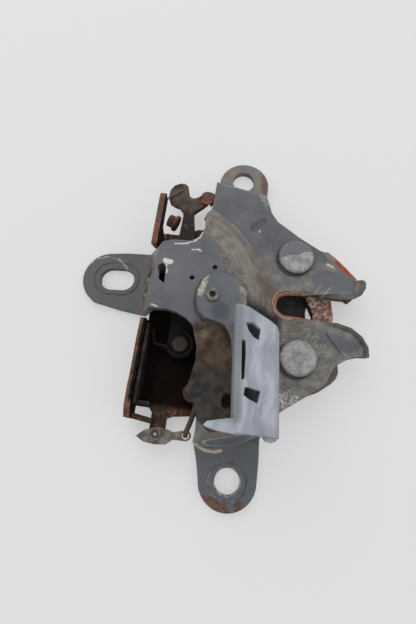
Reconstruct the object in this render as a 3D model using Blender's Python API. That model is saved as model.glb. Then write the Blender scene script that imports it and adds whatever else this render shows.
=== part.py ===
"""Bonnet latch: a folded front plate with three bolt ears and a striker slot, a rusty back plate,
and the catch, pawl, levers and springs between them.

The origin is where the bottom ear rests on the panel, just above its bolt hole. +X runs along the
slot to its mouth, +Y up the car, +Z out of the front plate. The sizes below are in millimetres, and
the places are laid out from the centre of the striker in the closed slot, over the ears' back faces.
"""
import math

import bmesh
import bpy
from mathutils import Vector
from mathutils.geometry import delaunay_2d_cdt

MM = 0.001
ORIGIN = (-14.1, -57.0)         # the object's origin, seen from the striker's centre
GAP = 0.3                       # clearance between pieces that touch
RUN = 0.3                       # running clearance of a bore on its rivet

# front plate
SHEET = 2.5
RIGHT_DECK = 13.0               # top face of the deck with the slot
LEFT_DECK = 23.0                # top face of the raised deck
SLOT_END = 3.9                  # radius of the slot's closed end
SLOT_ROLL = 1.6                 # width of the rolled-in rim round the closed end
EDGE_SLOPES = (-1.4, 0.8)       # rise per millimetre beyond the slot's fold: rolled in, then curled up
EDGE_TURN = (3.0, 17.0)         # x where the rim stops being rolled in and x where the horns' lip is full
LOWER_FOLD = [(0.0, -5.5), (8.0, -5.8), (18.0, -6.8), (22.8, -8.0), (25.9, -10.2), (27.6, -13.0), (28.0, -16.6)]
UPPER_FOLD = [(0.0, 5.5), (8.0, 5.8), (18.0, 6.8), (23.2, 7.7), (25.0, 9.0), (25.8, 10.6), (26.0, 13.4)]
STEP_CENTRE = (-48.0, -12.0)    # ellipse that the step between the decks follows
STEP_RADII = (40.0, 46.0)
STEP_SPREAD = 0.10              # half width of the step, as a share of the ellipse
LEFT_WALL = (-55.0, -48.8)      # foot and top of the wall to the left ear
BOTTOM_RUN = 5.0                # run of the wall down to the bottom ear
BOTTOM_BULGE = 3.0              # how far that wall bows out
TOP_RUN = 2.4                   # run of the wall down to the top ear
LEFT_EAR = (-69.0, 4.3, 11.0)   # x, y, end radius
TOP_EAR = (-21.2, 53.3, 10.2)
BOTTOM_EAR = (-14.1, -64.2, 10.3)
BOLT_HOLE = 4.5                 # radius
LEFT_HOLE_REACH = 2.2           # half length of the straight part of the left bolt slot
COIN = (6.3, 7.1, 0.3)          # washer seat groove: inner and outer radius, depth

# back plate
BACK = 2.0                      # thickness
BACK_LOW = 2.2                  # height of its lower face
BACK_SLOT = (15.0, 6.9)         # its slot's closed end: x of the centre, radius
WALL = 2.1                      # thickness of the side wall
WALL_LEFT = -52.3
WALL_TOP = 15.0                 # height of the wall along the box
TAB_TOP = 20.0                  # height of the wall's free upper end
TAB_LOW = 13.0                  # height of that end's lower edge

# moving pieces between the plates
LEAF = 4.2                      # thickness of catch and pawl
CATCH_PIVOT = (1.4, 18.2)
PAWL_PIVOT = (5.0, -19.9)
RIVET_SHAFT = 4.0
RIVET_HEAD = (6.6, 2.0)         # radius and height
TAIL_HOLE = (-28.2, -36.0)
TAIL_SLOT = 2.0
LINK_WIRE = 0.9                 # radius
LEAF_WIRE = 0.55                # radius of the springs over catch and pawl

# release lever in the box
LEVER_PIVOT = (-37.0, -19.5)
LEVER = 2.5                     # thickness
LEVER_LOW = 6.6
STUD = 1.9                      # radius
HOOK = 0.8                      # thickness of the folded hook on its arm
STOP_TUBE = ((-49.0, 30.0), (-45.5, 28.6))      # ends of the tube between side wall and stem
TUBE_RADIUS = 2.4
TUBE_HEIGHT = 8.6
SPRING_POST = (-45.6, 18.6)
POST = 1.5                      # radius
KICK_WIRE = 0.45

# cable lever at the lower edge
CABLE_PIVOT = (-41.1, -51.8)
CABLE_END = (-30.6, -50.9)
CABLE_PIN = 1.4                 # radius
CABLE_LEVER = 2.4               # thickness

# bracket over the raised deck
BRACKET = 2.2                   # sheet thickness
BRACKET_TOP = 50.0
BRACKET_WALL = (-17.7, -18.3)   # left face of its wall at the foot and at the top
BRACKET_RIGHT = -6.1
BRACKET_LEAN = 0.085            # how far the wall and flange run to the right, for each mm down from y -30
BRACKET_RIVET = (-27.3, -4.4)
RIVET_PIN = 1.6                 # radius of that rivet

BACK_TOP = BACK_LOW + BACK
LEAF_LOW = BACK_TOP + GAP
LEAF_TOP = LEAF_LOW + LEAF
PAD_LOW = LEFT_DECK + GAP
PAD_TOP = PAD_LOW + BRACKET
LEVER_TOP = LEVER_LOW + LEVER

GREY_PAINT = ("grey_paint", (0.13, 0.14, 0.155, 1.0), 0.45, 0.2)
BLUE_PAINT = ("bracket_paint", (0.30, 0.33, 0.40, 1.0), 0.35, 0.2)
RUST = ("rusty_steel", (0.22, 0.085, 0.04, 1.0), 0.85, 0.2)
DARK_RUST = ("greasy_steel", (0.10, 0.055, 0.035, 1.0), 0.6, 0.4)
WORN = ("worn_steel", (0.36, 0.35, 0.34, 1.0), 0.5, 0.6)
SPRING = ("spring_steel", (0.12, 0.10, 0.09, 1.0), 0.55, 0.6)


def clamp(value):
    return max(0.0, min(1.0, value))


def smooth(value):
    value = clamp(value)
    return value * value * (3.0 - 2.0 * value)


def arc(centre, radius, start, end, steps):
    """Points on a circle, from one angle to another in degrees."""
    points = []
    for i in range(steps + 1):
        angle = math.radians(start + (end - start) * i / steps)
        points.append((centre[0] + radius * math.cos(angle), centre[1] + radius * math.sin(angle)))
    return points


def circle(centre, radius, steps=32):
    return arc(centre, radius, 0.0, 360.0, steps)[:-1]


def oval(centre, across, along, steps=16):
    turns = (2.0 * math.pi * i / steps for i in range(steps))
    return [(centre[0] + across * math.cos(a), centre[1] + along * math.sin(a)) for a in turns]


def capsule(first, second, radius, steps=12):
    """Closed outline at one distance round the segment between two points."""
    along = math.degrees(math.atan2(second[1] - first[1], second[0] - first[0]))
    far_end = arc(second, radius, along - 90, along + 90, steps)
    return far_end + arc(first, radius, along + 90, along + 270, steps)


def box_points(low_x, low_y, high_x, high_y):
    return [(low_x, low_y), (high_x, low_y), (high_x, high_y), (low_x, high_y)]


def inside(point, loop):
    """Whether a point lies in a closed polygon."""
    result = False
    for (ax, ay), (bx, by) in zip(loop, loop[1:] + loop[:1]):
        if (ay > point[1]) != (by > point[1]) and point[0] < ax + (bx - ax) * (point[1] - ay) / (by - ay):
            result = not result
    return result


def triangles(outline, holes, folds):
    """Triangles of an outline with holes, with edges along the fold lines."""
    points, edges = [], []
    for line, closed in [(outline, True)] + [(h, True) for h in holes] + [(f, False) for f in folds]:
        first = len(points)
        points += [Vector(p) for p in line]
        edges += [(first + i, first + i + 1) for i in range(len(line) - 1)]
        if closed:
            edges.append((len(points) - 1, first))
    found, _, faces, _, _, _ = delaunay_2d_cdt(points, edges, [], 0, 1e-4)
    kept = []
    for face in faces:
        middle = sum((found[i] for i in face), Vector((0.0, 0.0))) / len(face)
        if inside(middle, outline) and not any(inside(middle, hole) for hole in holes):
            kept.append(tuple(face))
    used = sorted({i for face in kept for i in face})
    place = {old: new for new, old in enumerate(used)}
    return [tuple(found[i]) for i in used], [tuple(place[i] for i in face) for face in kept]


def material(look):
    name, colour, roughness, metallic = look
    found = bpy.data.materials.new(name)
    found.use_nodes = True
    shader = found.node_tree.nodes["Principled BSDF"]
    shader.inputs["Base Color"].default_value = colour
    shader.inputs["Roughness"].default_value = roughness
    shader.inputs["Metallic"].default_value = metallic
    found.diffuse_color = colour
    return found


def new_object(name, points, faces, pivot=ORIGIN):
    """An object from points in millimetres, with its origin over the pivot."""
    mesh = bpy.data.meshes.new(name)
    mesh.from_pydata([((x - pivot[0]) * MM, (y - pivot[1]) * MM, z * MM) for x, y, z in points], [], faces)
    made = bmesh.new()
    made.from_mesh(mesh)
    bmesh.ops.recalc_face_normals(made, faces=made.faces)
    made.to_mesh(mesh)
    made.free()
    obj = bpy.data.objects.new(name, mesh)
    bpy.context.scene.collection.objects.link(obj)
    obj.location = ((pivot[0] - ORIGIN[0]) * MM, (pivot[1] - ORIGIN[1]) * MM, 0.0)
    return obj


def finish(obj, look, angle=35.0):
    obj.data.materials.clear()
    obj.data.materials.append(material(look))
    obj.data.shade_smooth()
    obj.data.set_sharp_from_angle(angle=math.radians(angle))
    return obj


def apply_modifiers(obj):
    evaluated = obj.evaluated_get(bpy.context.evaluated_depsgraph_get())
    mesh = bpy.data.meshes.new_from_object(evaluated)
    obj.modifiers.clear()
    obj.data = mesh
    return obj


def combine(obj, others, operation):
    """Join others to an object or cut them out of it."""
    for other in others:
        step = obj.modifiers.new(operation.lower(), "BOOLEAN")
        step.operation = operation
        step.solver = "EXACT"
        step.object = other
        apply_modifiers(obj)
        bpy.data.objects.remove(other)
    return obj


def plate(name, outline, holes, low, high, pivot=ORIGIN):
    """A flat plate between two heights."""
    points, faces = triangles(outline, holes, [])
    count = len(points)
    solid = [(x, y, high) for x, y in points] + [(x, y, low) for x, y in points]
    sides = {}
    for face in faces:
        for a, b in zip(face, face[1:] + face[:1]):
            if (b, a) in sides:
                del sides[(b, a)]
            else:
                sides[(a, b)] = True
    shell = list(faces) + [tuple(i + count for i in reversed(face)) for face in faces]
    shell += [(b, a, a + count, b + count) for a, b in sides]
    return new_object(name, solid, shell, pivot)


def standing(name, outline, low_x, high_x):
    """A plate standing on edge: an outline of y and z between two x."""
    obj = plate(name, outline, [], low_x, high_x, (0.0, 0.0))
    for vertex in obj.data.vertices:
        y, z, x = vertex.co
        vertex.co = (x, y, z)
    return obj


def extruded_section(name, outline, low_y, high_y):
    """A section of x and z carried along y."""
    obj = plate(name, outline, [], low_y, high_y, (0.0, 0.0))
    for vertex in obj.data.vertices:
        x, z, y = vertex.co
        vertex.co = (x, y, z)
    obj.data.flip_normals()
    return obj


def turned(name, profile, centre, steps=40):
    """A round piece from radius and height pairs, closed on its axis."""
    points, faces = [], []
    for radius, height in profile:
        if radius == 0:
            points.append((centre[0], centre[1], height))
        else:
            points += [(x, y, height) for x, y in circle(centre, radius, steps)]
    row = 1
    for (low, _), (high, _) in zip(profile, profile[1:]):
        for i in range(steps):
            j = (i + 1) % steps
            if low == 0:
                faces.append((0, row + j, row + i))
            elif high == 0:
                faces.append((row + i, row + j, row + steps))
            else:
                faces.append((row + i, row + j, row + steps + j, row + steps + i))
        if low != 0:
            row += steps
    return new_object(name, points, faces, centre)


def tube(name, path, radius, pivot=ORIGIN, sides=8):
    """A round wire along a path."""
    path = [Vector(p) for p in path]
    points, faces = [], []
    for i, spot in enumerate(path):
        ahead = (path[min(i + 1, len(path) - 1)] - path[max(i - 1, 0)]).normalized()
        lift = Vector((0.0, 0.0, 1.0)) if abs(ahead.z) < 0.9 else Vector((0.0, 1.0, 0.0))
        across = ahead.cross(lift).normalized()
        up = across.cross(ahead)
        for k in range(sides):
            angle = 2.0 * math.pi * k / sides
            points.append(tuple(spot + radius * (math.cos(angle) * across + math.sin(angle) * up)))
    for i in range(len(path) - 1):
        for k in range(sides):
            n = (k + 1) % sides
            faces.append((i * sides + k, i * sides + n, (i + 1) * sides + n, (i + 1) * sides + k))
    faces.append(tuple(range(sides)))
    faces.append(tuple(reversed(range(len(points) - sides, len(points)))))
    return new_object(name, points, faces, pivot)


def coil(centre, radius, start, turns, low, pitch, steps=16):
    """Points of a helix about a vertical axis."""
    count = int(round(abs(turns) * steps))
    points = []
    for i in range(count + 1):
        angle = math.radians(start) + 2.0 * math.pi * turns * i / count
        height = low + pitch * abs(turns) * i / count
        points.append((centre[0] + radius * math.cos(angle), centre[1] + radius * math.sin(angle), height))
    return points


# front plate

def step_place(x, y):
    """How far a point lies across the step: below 1 is the raised deck."""
    across = (x - STEP_CENTRE[0]) / STEP_RADII[0]
    along = max(0.0, y - STEP_CENTRE[1]) / STEP_RADII[1]
    return math.hypot(across, along) if across > 0 else along


def top_fold(x):
    return 46.8 - 0.172 * (x + 31.8)


def bottom_fold(x):
    bow = clamp((x + 31.0) / 28.0) ** 0.65
    return -47.2 + 0.14 * (x + 31.0) - BOTTOM_BULGE * math.sin(math.pi * bow)


def beyond_fold(x, y):
    """How far a point lies outside the fold round the slot and along the horns."""
    if x < 0:
        return max(0.0, SLOT_END + SLOT_ROLL - math.hypot(x, y))
    fold, side = (UPPER_FOLD, -1.0) if y > 0 else (LOWER_FOLD, 1.0)
    beyond = 0.0
    for (x0, y0), (x1, y1) in zip(fold, fold[1:]):
        dx, dy = x1 - x0, y1 - y0
        beyond = max(beyond, side * (dx * (y - y0) - dy * (x - x0)) / math.hypot(dx, dy))
    return beyond


def front_height(x, y):
    """Height of the plate's upper face."""
    share = smooth((step_place(x, y) - 1.0 + STEP_SPREAD) / (2.0 * STEP_SPREAD))
    deck = LEFT_DECK + (RIGHT_DECK - LEFT_DECK) * share
    down = max(clamp((LEFT_WALL[1] - x) / (LEFT_WALL[1] - LEFT_WALL[0])),
               clamp((y - top_fold(x)) / TOP_RUN),
               clamp((bottom_fold(x) - y) / BOTTOM_RUN))
    rolled, curled = EDGE_SLOPES
    slope = rolled + (curled - rolled) * clamp((x - EDGE_TURN[0]) / (EDGE_TURN[1] - EDGE_TURN[0]))
    return deck + (SHEET - deck) * down + slope * beyond_fold(x, y)


def front_outline():
    """The plate's edge, anticlockwise from the foot of the bottom ear."""
    points = arc(BOTTOM_EAR, BOTTOM_EAR[2], 184, 356, 20)
    points += [(-3.9, -56.0), (-4.4, -48.5), (-2.6, -43.6), (0.8, -38.9), (14.7, -28.3), (16.4, -25.2)]
    points += [(17.9, -21.6), (19.3, -20.0), (22.8, -17.5), (26.3, -16.3), (28.0, -16.2), (29.0, -15.9)]
    points += [(28.7, -12.6), (26.7, -9.5), (23.2, -7.1), (18.0, -6.0), (12.0, -5.2), (6.0, -4.3)]
    points += arc((0.0, 0.0), SLOT_END, 270, 90, 16)
    points += [(6.0, 4.3), (12.0, 5.2), (18.0, 6.0), (23.6, 6.8), (25.8, 8.3), (26.9, 10.4), (27.0, 12.5)]
    points += [(26.0, 12.8), (24.6, 12.4), (22.4, 13.4), (18.9, 15.6), (15.6, 18.7), (13.4, 19.9), (11.6, 22.0)]
    points += [(2.4, 26.9), (-6.5, 32.6), (-9.2, 36.0)]
    points += [(-10.6, 40.0), (-12.0, 43.2), (-11.0, 46.0)]
    points += arc(TOP_EAR, TOP_EAR[2], 4, 176, 20)
    points += [(-31.6, 48.9), (-32.1, 46.5), (-32.4, 36.5), (-33.6, 27.0), (-33.3, 21.4), (-35.0, 17.4)]
    points += [(-38.0, 15.6), (-44.6, 15.2), (-47.6, 14.0), (-48.8, 11.6), (-55.0, 16.8), (-64.0, 16.2)]
    points += arc(LEFT_EAR, LEFT_EAR[2], 100, 242, 18)
    points += [(-63.0, -7.4), (-55.0, -8.4), (-48.8, -11.0), (-45.6, -10.9)]
    points += [(-42.3, -10.6), (-38.9, -11.3), (-35.3, -12.8), (-32.6, -15.1), (-31.8, -18.0)]
    points += [(-30.4, -22.1), (-30.0, -26.8), (-30.9, -32.4), (-31.8, -37.0), (-29.6, -39.6), (-28.3, -41.8)]
    points += [(-27.2, -45.4), (-27.0, -48.6), (-27.8, -52.6), (-26.0, -58.0)]
    return points


def front_folds():
    """Lines along which the plate bends."""
    lines = [[(x, -20.0), (x, 30.0)] for x in LEFT_WALL]
    for drop in (0.0, TOP_RUN):
        lines.append([(x, top_fold(x) + drop) for x in (-36.0, -8.0)])
    for drop in (0.0, BOTTOM_RUN):
        xs = [-31.0 + 28.0 * i / 10 for i in range(11)]
        lines.append([(-36.0, bottom_fold(-36.0) - drop)] + [(x, bottom_fold(x) - drop) for x in xs]
                     + [(2.0, bottom_fold(2.0) - drop)])
    for i in range(5):
        share = 1.0 + STEP_SPREAD * (i - 2) / 2.0
        line = [(STEP_CENTRE[0] + STEP_RADII[0] * share, -60.0)]
        for k in range(19):
            angle = math.radians(105.0 * k / 18)
            line.append((STEP_CENTRE[0] + STEP_RADII[0] * share * math.cos(angle),
                         STEP_CENTRE[1] + STEP_RADII[1] * share * math.sin(angle)))
        lines.append([p for p in line if p[0] > -47.0])
    lines.append(LOWER_FOLD[::-1] + arc((0.0, 0.0), SLOT_END + SLOT_ROLL, 270, 90, 16)[1:-1] + UPPER_FOLD)
    return lines


def left_bolt_ends():
    x, y, _ = LEFT_EAR
    tilt = 0.08 * LEFT_HOLE_REACH
    return (x + 2.6 - LEFT_HOLE_REACH, y + 0.4 - tilt), (x + 2.6 + LEFT_HOLE_REACH, y + 0.4 + tilt)


def front_holes():
    bore = RIVET_SHAFT + RUN
    holes = [circle(CATCH_PIVOT, bore), circle(PAWL_PIVOT, bore)]
    holes += [circle(BOTTOM_EAR[:2], BOLT_HOLE), circle((TOP_EAR[0] - 0.4, TOP_EAR[1] + 1.7), BOLT_HOLE)]
    holes.append(capsule(*left_bolt_ends(), BOLT_HOLE))
    holes.append([(-46.7, -0.3), (-44.6, -1.6), (-44.8, 4.4), (-46.0, 5.9), (-47.8, 4.8)])
    holes += [oval((-52.6, 4.9), 0.6, 0.9), oval((-52.9, -1.1), 0.6, 1.0)]
    holes += [circle((-35.3, 1.8), 0.9, 12), circle((-27.9, 6.6), 0.9, 12)]
    holes += [circle(BRACKET_RIVET, RIVET_PIN + RUN, 16), oval((-18.4, -38.6), 1.6, 2.6)]
    return holes


def seat_groove(first, second):
    """Cutter for the coined ring round a bolt hole."""
    inner, outer, depth = COIN
    ring = capsule(first, second, outer), [capsule(first, second, inner)]
    return plate("groove", *ring, SHEET - depth, SHEET + 2.0)


def build_front_plate():
    points, faces = triangles(front_outline(), front_holes(), front_folds())
    obj = new_object("front_plate", [(x, y, front_height(x, y)) for x, y in points], faces)
    if obj.data.polygons[0].normal.z < 0:
        obj.data.flip_normals()
    skin = obj.modifiers.new("sheet", "SOLIDIFY")
    skin.thickness = SHEET * MM
    skin.offset = -1.0
    skin.use_even_offset = True
    apply_modifiers(obj)
    x, y, _ = BOTTOM_EAR
    grooves = [seat_groove((x - 0.01, y), (x, y)), seat_groove(*left_bolt_ends())]
    combine(obj, grooves, "DIFFERENCE")
    return finish(obj, GREY_PAINT, 25.0)


# back plate

def back_outline():
    """The rusty plate's floor, anticlockwise from its lower left corner."""
    slot_x, slot = BACK_SLOT
    x, y = CABLE_PIVOT
    points = [(WALL_LEFT, -42.8), (-45.2, -42.9), (-43.9, -44.6), (-43.9, y)]
    points += arc((x, y), 2.8, 180, 360, 10)
    points += [(-38.3, -46.0), (-36.4, -45.0), (-30.0, -44.0), (-10.0, -42.0), (-1.0, -37.5), (15.0, -29.4)]
    points += [(19.5, -25.7), (21.2, -23.6), (21.9, -21.4), (21.6, -19.0), (20.4, -15.5), (22.4, -12.5)]
    points += [(23.0, -slot)]
    points += arc((slot_x, 0.0), slot, 270, 90, 12)
    points += [(22.6, 7.2), (24.2, 6.3), (25.8, 7.8), (26.6, 12.0), (27.2, 16.6), (22.6, 21.0), (18.6, 24.4)]
    points += [(15.6, 26.6), (13.4, 26.6), (3.0, 29.0), (-6.0, 33.0), (-14.0, 36.0), (-30.0, 30.0), (-37.4, 29.5)]
    points += [(-41.0, 27.6), (-44.4, 26.1), (WALL_LEFT + 1.0, 26.0), (WALL_LEFT, 26.0), (WALL_LEFT, 18.6)]
    points += [(-51.0, 17.4), (-51.0, -10.6), (WALL_LEFT, -11.8)]
    return points


def build_back_plate():
    """Floor, the long side wall with its free upper end, and the strip along the box's lower edge."""
    bore = RIVET_SHAFT + RUN
    holes = [circle(CATCH_PIVOT, bore), circle(PAWL_PIVOT, bore), circle(LEVER_PIVOT, STUD + RUN, 16)]
    holes.append(circle(CABLE_PIVOT, CABLE_PIN + RUN, 16))
    holes.append(circle(SPRING_POST, POST + RUN, 16))
    obj = plate("back_plate", back_outline(), holes, BACK_LOW, BACK_TOP)
    low = BACK_LOW + 0.6
    tab = [(18.8, low), (22.6, low), (24.6, TAB_LOW), (36.0, TAB_LOW)]
    tab += arc((33.2, TAB_TOP - 3.2), 3.2, 0, 90, 6) + [(14.0, TAB_TOP), (16.2, 11.4)]
    wall = [(-47.6, low), (-11.8, low), (-12.4, WALL_TOP - 1.0), (-20.0, WALL_TOP), (-34.0, WALL_TOP)]
    wall += [(-36.5, WALL_TOP + 0.8), (-44.0, WALL_TOP + 0.4), (-47.6, WALL_TOP - 2.6)]
    right = WALL_LEFT + WALL
    strip = [(WALL_LEFT + 0.4, -47.4), (-43.3, -48.6), (-42.9, -46.6), (WALL_LEFT + 0.4, -45.3)]
    lip = plate("strip", strip, [], low, 7.4)
    tab, wall = standing("tab", tab, WALL_LEFT, right), standing("wall", wall, WALL_LEFT, right)
    combine(obj, [tab, wall, lip], "UNION")
    return finish(obj, RUST)


def build_box_liner():
    """The thin second layer inside the side wall, turned in along the box's lower edge."""
    left = WALL_LEFT + WALL + GAP
    low = BACK_TOP + GAP
    side = standing("box_liner", [(-42.6, low), (-13.2, low), (-13.8, WALL_TOP - 2.0), (-42.6, WALL_TOP - 1.2)],
                    left, left + 1.2)
    turn = plate("turn", box_points(left + 0.4, -42.4, -44.6, -41.2), [], low + 0.4, 10.2)
    return finish(combine(side, [turn], "UNION"), DARK_RUST)


# catch and pawl

def catch_outline():
    x, y = CATCH_PIVOT
    points = arc((x, y), 8.6, 0, 148, 16)
    points += [(-9.6, 20.0), (-11.2, 15.8), (-9.2, 13.4), (-7.2, 11.4), (-9.7, 2.0), (-9.4, -4.4), (-7.6, -5.6)]
    points += [(-5.6, -4.8), (-5.4, 3.4), (-3.4, 6.2), (4.6, 6.2), (7.2, 4.4), (10.3, -1.6), (9.6, -6.0)]
    points += [(11.4, -8.8), (14.6, -8.6), (17.0, -5.6), (17.8, -1.7), (16.3, 6.0), (13.2, 12.4)]
    return points


def build_catch():
    obj = plate("catch_claw", catch_outline(), [circle(CATCH_PIVOT, RIVET_SHAFT + RUN)],
                LEAF_LOW, LEAF_TOP, CATCH_PIVOT)
    return finish(obj, DARK_RUST)


def pawl_outline():
    x, y = PAWL_PIVOT
    points = arc((x, y), 7.6, -100, 116, 20)
    points += [(-5.0, -10.6), (-10.4, -5.4), (-11.5, 2.0), (-11.4, 8.0), (-10.7, 11.0), (-9.5, 13.15)]
    points += [(-11.5, 15.55), (-14.4, 15.2), (-15.4, 6.0), (-15.2, -6.0), (-11.6, -15.0), (-9.6, -21.4)]
    hole_x, hole_y = TAIL_HOLE
    points += [(-14.0, -26.6), (hole_x, hole_y + 3.4)]
    points += arc((hole_x - TAIL_SLOT, hole_y), 3.4, 90, 270, 10)
    points += [(hole_x, hole_y - 3.4), (-12.0, -34.0)]
    return points


def build_pawl():
    x, y = TAIL_HOLE
    holes = [circle(PAWL_PIVOT, RIVET_SHAFT + RUN)]
    holes.append(capsule((x - TAIL_SLOT, y), (x, y), LINK_WIRE + 0.5, 8))
    obj = plate("pawl", pawl_outline(), holes, LEAF_LOW, LEAF_TOP, PAWL_PIVOT)
    return finish(obj, DARK_RUST)


def build_plate_rivet(name, centre):
    """A wide-headed rivet through both plates; the catch or pawl turns on its shaft."""
    head, rise = RIVET_HEAD
    seat = RIGHT_DECK + GAP
    foot = BACK_LOW - GAP
    profile = [(0, foot - 1.4), (4.6, foot - 1.4), (5.4, foot - 0.9), (5.4, foot), (RIVET_SHAFT, foot)]
    profile += [(RIVET_SHAFT, seat), (head, seat), (head, seat + rise - 0.8), (head - 0.25, seat + rise - 0.3)]
    profile += [(head - 0.8, seat + rise), (head - 2.4, seat + rise), (0, seat + rise - 0.15)]
    return finish(turned(name, profile, centre, 48), WORN)


def tangent_angle(centre, radius, spot, side):
    """Where on a circle, in degrees, a straight leg from a spot runs in."""
    dx, dy = spot[0] - centre[0], spot[1] - centre[1]
    return math.degrees(math.atan2(dy, dx) + side * math.acos(radius / math.hypot(dx, dy)))


def build_leaf_spring(name, centre, side, first, last):
    """A wire above a moving leaf, bent round the rivet's shaft; side is 1 for anticlockwise."""
    radius = RIVET_SHAFT + RUN + LEAF_WIRE
    low = LEAF_TOP + GAP + LEAF_WIRE
    start = tangent_angle(centre, radius, first, side)
    end = tangent_angle(centre, radius, last, -side)
    turns = side * ((side * (end - start)) % 360.0) / 360.0
    path = [first + (low,)] + coil(centre, radius, start, turns, low, 0.0, 24) + [last + (low,)]
    return finish(tube(name, path, LEAF_WIRE, centre), SPRING, 60.0)


# release lever and the pieces round it

def lever_outline():
    """The T shape, anticlockwise from the right of its hub."""
    points = arc(LEVER_PIVOT, 5.0, -200, 10, 18)
    points += [(-36.4, 0.0), (-37.6, 20.0), (-38.6, 28.4), (-39.6, 34.4), (-38.4, 35.8), (-36.6, 37.4)]
    points += [(-34.8, 39.4), (-34.2, 43.4), (-35.8, 44.2), (-37.6, 42.6), (-39.2, 41.2), (-40.9, 40.6)]
    points += [(-42.4, 41.4), (-43.0, 43.6), (-43.6, 45.8), (-45.0, 46.8), (-47.0, 46.7), (-49.2, 45.5)]
    points += [(-50.6, 43.2), (-50.8, 40.2), (-49.8, 37.8), (-47.6, 36.7), (-45.6, 36.2), (-44.2, 34.6)]
    points += [(-43.7, 32.0), (-44.2, 21.0), (-42.6, 0.0)]
    return points


def build_release_lever():
    obj = plate("release_lever", lever_outline(), [circle(LEVER_PIVOT, STUD + RUN, 20)],
                LEVER_LOW, LEVER_TOP, LEVER_PIVOT)
    return finish(obj, DARK_RUST)


def build_lever_hook():
    """The folded rusty hook clipped over the lever's right arm."""
    low = LEVER_TOP + GAP
    outline = [(-37.6, 38.8), (-35.4, 38.0), (-33.4, 38.6), (-32.2, 41.0), (-32.4, 43.0), (-34.0, 43.7)]
    outline += [(-36.2, 43.7), (-37.6, 42.6), (-37.0, 41.0)]
    obj = plate("lever_hook", outline, [], low, low + HOOK, LEVER_PIVOT)
    side = plate("side", [(-33.8, 38.8), (-33.2, 39.0), (-32.2, 41.0), (-32.4, 43.0), (-33.4, 43.4)], [],
                 LEVER_LOW + 0.5, low + HOOK / 2.0, LEVER_PIVOT)
    return finish(combine(obj, [side], "UNION"), RUST)


def build_lever_stud():
    x, y = LEVER_PIVOT
    foot = BACK_LOW - GAP
    collar = LEVER_LOW - GAP
    top = LEVER_TOP + GAP
    profile = [(0, foot - 1.2), (2.8, foot - 1.2), (3.1, foot - 0.8), (3.1, foot), (STUD, foot)]
    profile += [(STUD, BACK_TOP + GAP), (3.6, BACK_TOP + GAP), (3.6, collar), (STUD, collar), (STUD, top)]
    profile += [(2.9, top), (2.9, top + 0.9), (2.4, top + 1.3), (0, top + 1.4)]
    return finish(turned("lever_stud", profile, (x, y), 28), WORN)


def build_stud_spring():
    """The hooked spring end curled round the stud's head."""
    wire = 0.8
    low = LEVER_TOP + GAP + wire
    path = [(-47.4, -15.6, low), (-46.4, -20.4, low)] + coil(LEVER_PIVOT, 4.6, 200, 0.72, low, 0.6)
    return finish(tube("stud_spring", path, wire, LEVER_PIVOT), SPRING, 60.0)


def build_stop_tube():
    """The short tube that keeps the lever's stem off the side wall."""
    start, end = (Vector((x, y, TUBE_HEIGHT)) for x, y in STOP_TUBE)
    obj = tube("stop_tube", [start, start.lerp(end, 0.5), end], TUBE_RADIUS, LEVER_PIVOT, 16)
    return finish(obj, DARK_RUST, 50.0)


def build_tube_collar():
    """The bright rusty collar between the tube and the stem."""
    ring = [(0.0, 0.0), (1.0, 0.0), (1.0, 1.0), (0.0, 1.0)]
    first, last = (Vector((x, y, TUBE_HEIGHT)) for x, y in STOP_TUBE)
    run = (last - first).normalized()
    across = Vector((-run.y, run.x, 0.0))
    start = last - run * 1.2
    length, inner, outer, steps = 1.0, TUBE_RADIUS + GAP, TUBE_RADIUS + 0.8, 18
    points, faces = [], []
    for i in range(steps):
        angle = 2.0 * math.pi * i / steps
        spoke = math.cos(angle) * across + math.sin(angle) * Vector((0.0, 0.0, 1.0))
        for far, wide in ring:
            points.append(tuple(start + run * length * far + spoke * (inner + (outer - inner) * wide)))
        for k in range(4):
            n = (i + 1) % steps
            faces.append((4 * i + k, 4 * i + (k + 1) % 4, 4 * n + (k + 1) % 4, 4 * n + k))
    return finish(new_object("tube_collar", points, faces, LEVER_PIVOT), RUST, 50.0)


def build_flag_wire():
    """The thin wire lying across the lever's left flag."""
    low = LEVER_TOP + GAP + 0.4
    path = [(-45.6, 43.6, low), (-50.0, 40.0, low), (-51.6, 37.6, low)]
    return finish(tube("flag_wire", path, 0.4, LEVER_PIVOT, 6), SPRING, 60.0)


def build_spring_post():
    foot, seat = BACK_LOW - GAP, BACK_TOP + GAP
    profile = [(0, foot - 1.0), (2.3, foot - 1.0), (2.3, foot), (POST, foot), (POST, seat), (2.6, seat)]
    profile += [(2.6, seat + 0.5), (POST, seat + 0.5), (POST, seat + 1.6), (0, seat + 1.7)]
    return finish(turned("spring_post", profile, SPRING_POST, 24), RUST)


def build_kick_spring():
    """The coil round the post, with one leg to the side wall."""
    low = BACK_TOP + GAP + KICK_WIRE
    ring = coil(SPRING_POST, 3.4, 130, 1.1, low, 0.95)
    path = ring + [(-49.0, 25.2, ring[-1][2])]
    return finish(tube("kick_spring", path, KICK_WIRE), RUST, 60.0)


# cable lever and link

def cable_lever_outline():
    x, y = CABLE_END
    points = [(-47.8, -53.2), (-45.0, -54.8), (-41.0, -55.2), (-37.2, -54.8), (-35.0, -52.9), (x, y - 1.9)]
    points += arc((x, y), 1.9, -80, 80, 8)
    points += [(x, y + 1.9), (-35.0, -50.3), (-37.4, -49.6), (-41.0, -49.3), (-45.0, -50.7)]
    return points


def build_cable_lever():
    holes = [circle(CABLE_PIVOT, CABLE_PIN + RUN, 16), circle(CABLE_END, LINK_WIRE + 0.45, 12)]
    low = BACK_TOP + GAP
    obj = plate("cable_lever", cable_lever_outline(), holes, low, low + CABLE_LEVER, CABLE_PIVOT)
    return finish(obj, WORN)


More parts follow.
